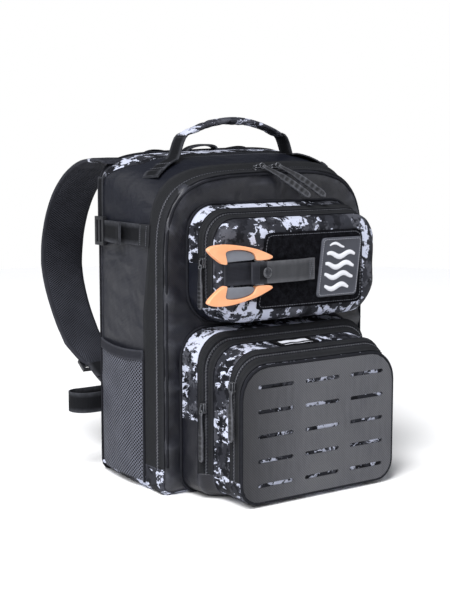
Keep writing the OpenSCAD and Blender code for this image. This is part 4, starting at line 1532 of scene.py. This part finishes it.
def slider(name, centre, along, out, body, node):
    """A zip slider: a waisted body with a bridge that the pull hangs from."""
    c, a, o = np.array(centre, float), unit(along), unit(out)
    s = np.linspace(-1, 1, 15)
    width = 8.6 - 2.2 * np.clip(s, 0, 1) ** 2 - 1.0 * np.cos(s * math.pi)
    width[[0, -1]] *= 0.72
    high = np.full(15, 2.0)
    high[[0, -1]] = 1.2
    across = np.cross(a, o)
    parts = [bar_sweep("plate", c[None] + a * s[:, None] * 5.6 + o * off, across, width, high, M["metal"])
             for off in (-1.1, 1.5)]
    arch = np.linspace(0, math.pi, 15)
    bridge = c[None] + a * (np.cos(arch) * 4.0)[:, None] + o * (2.2 + np.sin(arch) * 2.4)[:, None]
    parts.append(bar_sweep("bridge", bridge, across, np.full(15, 2.4), np.full(15, 1.3), M["metal"]))
    place(merge(name, parts), body, node, slot="zip_metal")


def pull(name, start, end, across, thick, body, node, sag=0.0):
    """A zip pull: a wire bail, a narrow neck, a ribbed grip and a rounded tip."""
    a, b = np.array(start, float), np.array(end, float)
    s = np.linspace(0, 1, 60)
    path = a + (b - a) * s[:, None]
    path[:, 2] -= sag * np.sin(s * math.pi)
    shape = ((0, 0.35), (0.04, 0.52), (0.16, 0.56), (0.30, 0.72), (0.42, 1.0), (0.93, 1.0), (0.98, 0.72),
             (1, 0.3))
    profile = np.interp(s, *zip(*shape))
    ribs = 1 + 0.12 * np.sin(s * 60) * ((s > 0.42) & (s < 0.9))
    depth = thick * np.minimum(profile * 1.25, 1) * ribs
    bar = bar_sweep(name, path, across, PULL_W * profile, depth, M["rubber"])
    t, ac = unit(b - a), unit(across)
    ring = np.linspace(0, 2 * math.pi, 20, endpoint=False)
    bail = a - t * 0.5 + np.cos(ring)[:, None] * t * 3.4 + np.sin(ring)[:, None] * ac * PULL_W * 0.36
    parts = [bar, tube("bail", bail, 0.65, M["metal"], closed=True, sides=6)]
    place(merge(name, parts), body, node, slot="pull_rubber")


for word, x, way in (("left", -9, -1), ("right", 14, 1)):
    slider(f"main_slider_{word}_body", (x, -64.5, 367.4), (way, 0, 0), (0, -0.35, 0.94),
           f"main_slider_{word}", f"main_zip_slider_{word}")
    pull(f"main_pull_{word}_cord", (x, -74.5, 370.0), (x + 50, -99.3, 334.2), (0.55, 0.0, 0.83), 4.6,
         f"main_pull_{word}", f"main_zip_pull_{word}", sag=-2.0)

# The pockets' sliders are on their left, and each pull hangs at its own distance off its slider
for word, (x, y, z), length, stand_off in (("upper", (-109.6, -99.5, 265.5), 46, 3.4),
                                           ("rear", (-117.0, -111.5, 105.5), 55, 3.4),
                                           ("front", (-108.5, -154.5, 135.5), 55, 1.7)):
    slider(f"{word}_slider_body", (x, y, z), (0, 0, 1), (-1, 0, 0), f"{word}_slider", f"{word}_zip_slider")
    top = (x - stand_off, y, z - 5.5)
    tip = (top[0] - 1.0, y - 1.5, top[2] - length)
    pull(f"{word}_pull_tab", top, tip, (0, 1, 0), 3.4, f"{word}_pull", f"{word}_zip_pull")


# ---------- carry handle ----------

HANDLE_HALF = 73


def bow_z(x):
    """The carry handle's height: a shallow arch."""
    return 423 - 17 * (x / 70) ** 2


xs = np.linspace(-HANDLE_HALF, HANDLE_HALF, 90)
path = np.stack([xs, 0.8 * np.sin(xs / 31), bow_z(np.clip(xs, -71, 71)) - 0.3], 1)
fold = np.abs(xs) / HANDLE_HALF
widths = 21.5 - 3.0 * (1 - fold) ** 0.8 + 1.3 * np.sin(xs * 0.33) * fold
thicks = 6.4 + 0.9 * np.sin(xs * 0.21 + 1) - 1.6 * fold ** 3
widths[[0, -1]] *= 0.9
thicks[[0, -1]] *= 0.5
grip = bar_sweep("carry_grip_cloth", path, (0, 1, 0), widths, thicks, M["camo_grip"], sides=28, power=0.7)
puff(grip, 3.0, 1.2, lambda p: abs(p[0]) > 68)
wrinkle(grip, 1.1, 11, 41, stretch=(0.8, 1, 1))
seam_x = np.linspace(-66, 66, 60)
seam = np.stack([seam_x, -3.0 + 2.2 * np.sin(seam_x / 24), bow_z(seam_x) + 2.9], 1)
lap = tube("carry_grip_lap", seam, 0.9, M["camo_grip"])
cover = merge("carry_grip_cover", [grip, lap])
place(cover, "carry_handle", "handle_grip", slot="camo_fabric")

for side, word in ((-1, "left"), (1, "right")):
    # The leg drops from the grip to the shoulder, then lies outwards over it to its cut end
    turn = [(66, 407.5), (71, 405.6), (74.5, 402), (77.5, 396), (80, 389), (82.6, 382)]
    points = [(side * x, 0, z) for x, z in turn]
    for x in (88, 94, 100, 106, 112, 118, 123, 127):
        y = -2 - (x - 84) * 0.40
        points.append((side * x, y, top_z(side * x, y) + (1.6 if x < 120 else 2.4)))
    path = resample(points, 60)
    skew = np.clip((np.abs(path[:, 0]) - 80) / 20, 0, 1)[:, None]
    across = np.array([0, 1.0, 0]) + np.array([side * 0.28, 0, -0.1]) * skew
    parts = [band("leg", path, across, 25, 1.7, M["webbing"])]
    end = path[-8:] + np.array([0, 0, 1.5])
    parts.append(band("end_fold", end, across[-8:], 24.6, 1.4, M["webbing"]))
    for shift in (0.80, 0.68):
        k = int(len(path) * shift)
        a = unit(across[k])
        line = [path[k] + a * w + np.array([0, 0, 1.2]) for w in np.linspace(-10.5, 10.5, 8)]
        parts.append(stitches("bar", line, (side * 0.3, 0, 1), M["thread"], 2.3, 1.8))
    place(merge(f"{word}_handle_web", parts), "root", "handle_webbing", "handle_anchors", slot="webbing",
          between=("carry_handle", (0, 0, 386), (0, 0, 400)))


# ---------- shoulder straps, hip belt and back ----------

PAD_SIDES = 44
STRAP_EDGE_POWER = 0.42
STRAP_REACH = 141
STRAP_MIDDLE = (75, 240)
BELT_Z = 82.5
CHANNEL_ZS = (155, 250)


def strap_point(t, out=0.0):
    """The strap's (y, z) at an angle about its middle: an ellipse above, a fuller curve below."""
    p, high, way = (1, 136, 1) if t >= 0 else (2 / 1.55, 140, -1)
    c, s = math.cos(math.radians(t)), abs(math.sin(math.radians(t)))
    y, z = STRAP_MIDDLE
    return np.array([y + (STRAP_REACH + out) * c ** p, z + way * (high + out) * s ** p])


def sweep_strap(name, angles, x_mid, widths, thicks, mats, sides, index=None, extra=()):
    """A padded strap that follows strap_point, and then any extra (y, z) points."""
    yz = [strap_point(t) for t in angles] + [np.array(e, float) for e in extra]
    c = np.array([(x_mid, p[0], p[1]) for p in yz])
    t = unit(np.gradient(c, axis=0))
    a = np.broadcast_to(np.array([1.0, 0, 0]), t.shape)
    n = unit(np.cross(a, t))
    powers = (STRAP_EDGE_POWER, 0.62)
    return face_outwards(oval_sweep(name, c, a, n, widths, thicks, mats, sides, powers, index))


def pad_face(r, c):
    """Which cloth a face of the pad takes: binding at its edges, camouflage outside, air mesh inside."""
    ang = 2 * math.pi * (c + 0.5) / PAD_SIDES
    if abs(math.cos(ang)) ** STRAP_EDGE_POWER > 0.83:
        return 2
    return 0 if math.sin(ang) < 0 else 1


def shoulder_strap(side, word):
    """A shoulder strap: the pad, its root at the top, and the webbing and lock below."""
    x_mid = side * STRAP_X
    body = f"{word}_strap"
    angles = np.linspace(-63, 85, 110)
    s = np.linspace(0, 1, 110)
    widths = np.interp(s, [0, 0.03, 0.10, 0.5, 1], [26, 38, 54, 60, 60])
    thicks = np.interp(s, [0, 0.03, 0.94, 1], [5, 8.4, 8.4, 6.0])
    strap = sweep_strap(f"{word}_strap_cushion", angles, x_mid, widths, thicks,
                        [M["camo_side"], M["spacer"], M["binding"]], PAD_SIDES, pad_face)
    puff(strap, 4.0, 2.2, lambda p: abs(p[0] - x_mid) > 24.5)
    wrinkle(strap, 0.8, 22, 51 + side, mask=lambda p: 1.0 if abs(p[0] - x_mid) < 27 else 0.3)
    place(strap, body, f"{word}_strap_pad", slot="spacer_mesh")
    root = sweep_strap(f"{word}_strap_root", np.linspace(80, 90, 12), x_mid, np.linspace(57, 48, 16),
                       np.linspace(6.5, 4.2, 16), [M["binding"]], 30,
                       extra=((72, 376), (68, 375.2), (64, 374.4), (60, 373.4)))
    place(root, "root", slot="webbing", between=(body, (0, 76, 0), (0, 92, 0)))
    web = [(x_mid, *strap_point(t)) for t in np.linspace(-89, -60, 40)]
    parts = [band("web", web, (1, 0, 0), 25, 1.6, M["webbing"])]
    turned = [(x_mid, *strap_point(t, -2.2)) for t in np.linspace(-74, -61.5, 14)]
    parts.append(band("turned_back", turned, (1, 0, 0), 24.6, 1.4, M["webbing"]))
    piece = merge(f"{word}_lower_strap", parts)
    place(piece, "root", f"{word}_strap_webbing", slot="webbing", between=(body, (0, 77, 0), (0, 93, 0)))
    retouch(f"{word}_ladder_lock", M["plastic"], 0.7, 3)
    tab = [(x_mid, y, z) for y, z in ((76.2, 88), (75.9, 96), (76.2, 104), (76.6, 110))]
    tab = band(f"{word}_strap_tab", resample(tab, 12), (1, 0, 0), 34, 1.8, M["webbing"])
    place(tab, "root", slot="webbing")


def half_of_hip_belt(side, word):
    """Webbing out of the back panel, round a turn beside the body, and back to the buckle."""
    y_in, y_out, r, x_turn = 75.9, 113.9, 19.0, 154.0
    run = [(x, y_in) for x in np.linspace(108, x_turn, 14)]
    bend = np.linspace(0.15, math.pi - 0.15, 22)
    run += [(x_turn + r * math.sin(a), y_in + r - r * math.cos(a)) for a in bend]
    run += [(x, y_out + 0.5 * math.sin(x / 14)) for x in np.linspace(x_turn, 29, 40)]
    path = np.array([(side * x, y, BELT_Z + 0.6 * math.sin(k / 9)) for k, (x, y) in enumerate(run)])
    parts = [band("belt", path, (0, 0, 1), 25, 1.7, M["webbing"])]
    tail = [(side * x, y_out + 3.0, BELT_Z) for x in np.linspace(96, 33, 30)]
    parts.append(band("tail", tail, (0, 0, 1), 24.6, 1.5, M["webbing"]))
    place(merge(f"{word}_hip_belt", parts), "root", "hip_belt", slot="webbing")


def bound_edge(r, c):
    """Binding on a cushion's first three rows of faces, air mesh on the rest."""
    return 1 if r < 3 else 0


def back_cushion(side, word):
    """A back pad with a channel sewn across it at two heights."""
    loop = rounded(32, 60, 345, 20, 20) + np.array([side * 45, 0])
    cushion = dome(f"{word}_back_cushion", loop,
                   [(0, 74.8), (-0.2, 77), (0.6, 79.6), (2.4, 81.6), (5.2, 82.8), (9, 83.2)],
                   [M["spacer"], M["binding"]], 200, 14, facing=1, index=bound_edge)

    def from_channel(z):
        return np.minimum(abs(z - CHANNEL_ZS[0]), abs(z - CHANNEL_ZS[1]))

    co, _ = vertex_arrays(cushion)
    groove = np.exp(-(from_channel(co[:, 2]) / 4.0) ** 2)
    co[:, 1] -= 5.0 * groove * np.clip((co[:, 1] - 78) / 5, 0, 1)
    set_vertices(cushion, co)
    puff(cushion, 4.0, 2.4, lambda p: p[1] < 79 or from_channel(p[2]) < 6)
    wrinkle(cushion, 0.4, 18, 61)
    place(cushion, "root", "back_padding", slot="spacer_mesh")


for side, word in ((-1, "left"), (1, "right")):
    shoulder_strap(side, word)
    half_of_hip_belt(side, word)
    back_cushion(side, word)

# Padded yoke between the straps' roots, with a hump behind each shoulder
top_edge = rounded(86, 349, 386, 12, 16)
top_edge = slouched(resample(top_edge, 600, True))
hump = 3.2 * np.exp(-((np.abs(top_edge[:, 0]) - 62) / 20) ** 2) - 2.4 * np.exp(-(top_edge[:, 0] / 24) ** 2)
top_edge[:, 1] += hump * (top_edge[:, 1] > 372)
yoke = dome("yoke_cushion", top_edge,
            [(0, 75.1), (-0.4, 77.4), (0.2, 80.6), (2.0, 83.4), (5.0, 84.9), (9, 85.2)],
            [M["spacer"], M["binding"]], 220, 10, facing=1, index=bound_edge)
wrinkle(yoke, 0.8, 24, 71)
place(yoke, "root", "strap_yoke", slot="spacer_mesh")

# Hang loop, which leans to the right
turn = np.linspace(0, math.pi, 40)
loop_x = 22 * np.cos(turn) + 5 * np.sin(turn)
loop_z = np.array([top_z(x, 66.5) for x in loop_x]) - 0.6 + 7.6 * np.sin(turn) ** 0.8
loop_path = np.stack([loop_x, np.full(40, 71.0), loop_z], 1)
place(band("hang_loop_web", loop_path, (0, 1, 0), 13, 2.4, M["webbing"]), "root", "hang_loop", slot="webbing")

retouch("hip_buckle_socket", M["plastic"], 1.0, 3)
retouch("hip_buckle_plug", M["plastic"], 1.0, 3)
retouch("frame_sheet", M["frame"], 0.3, 1)
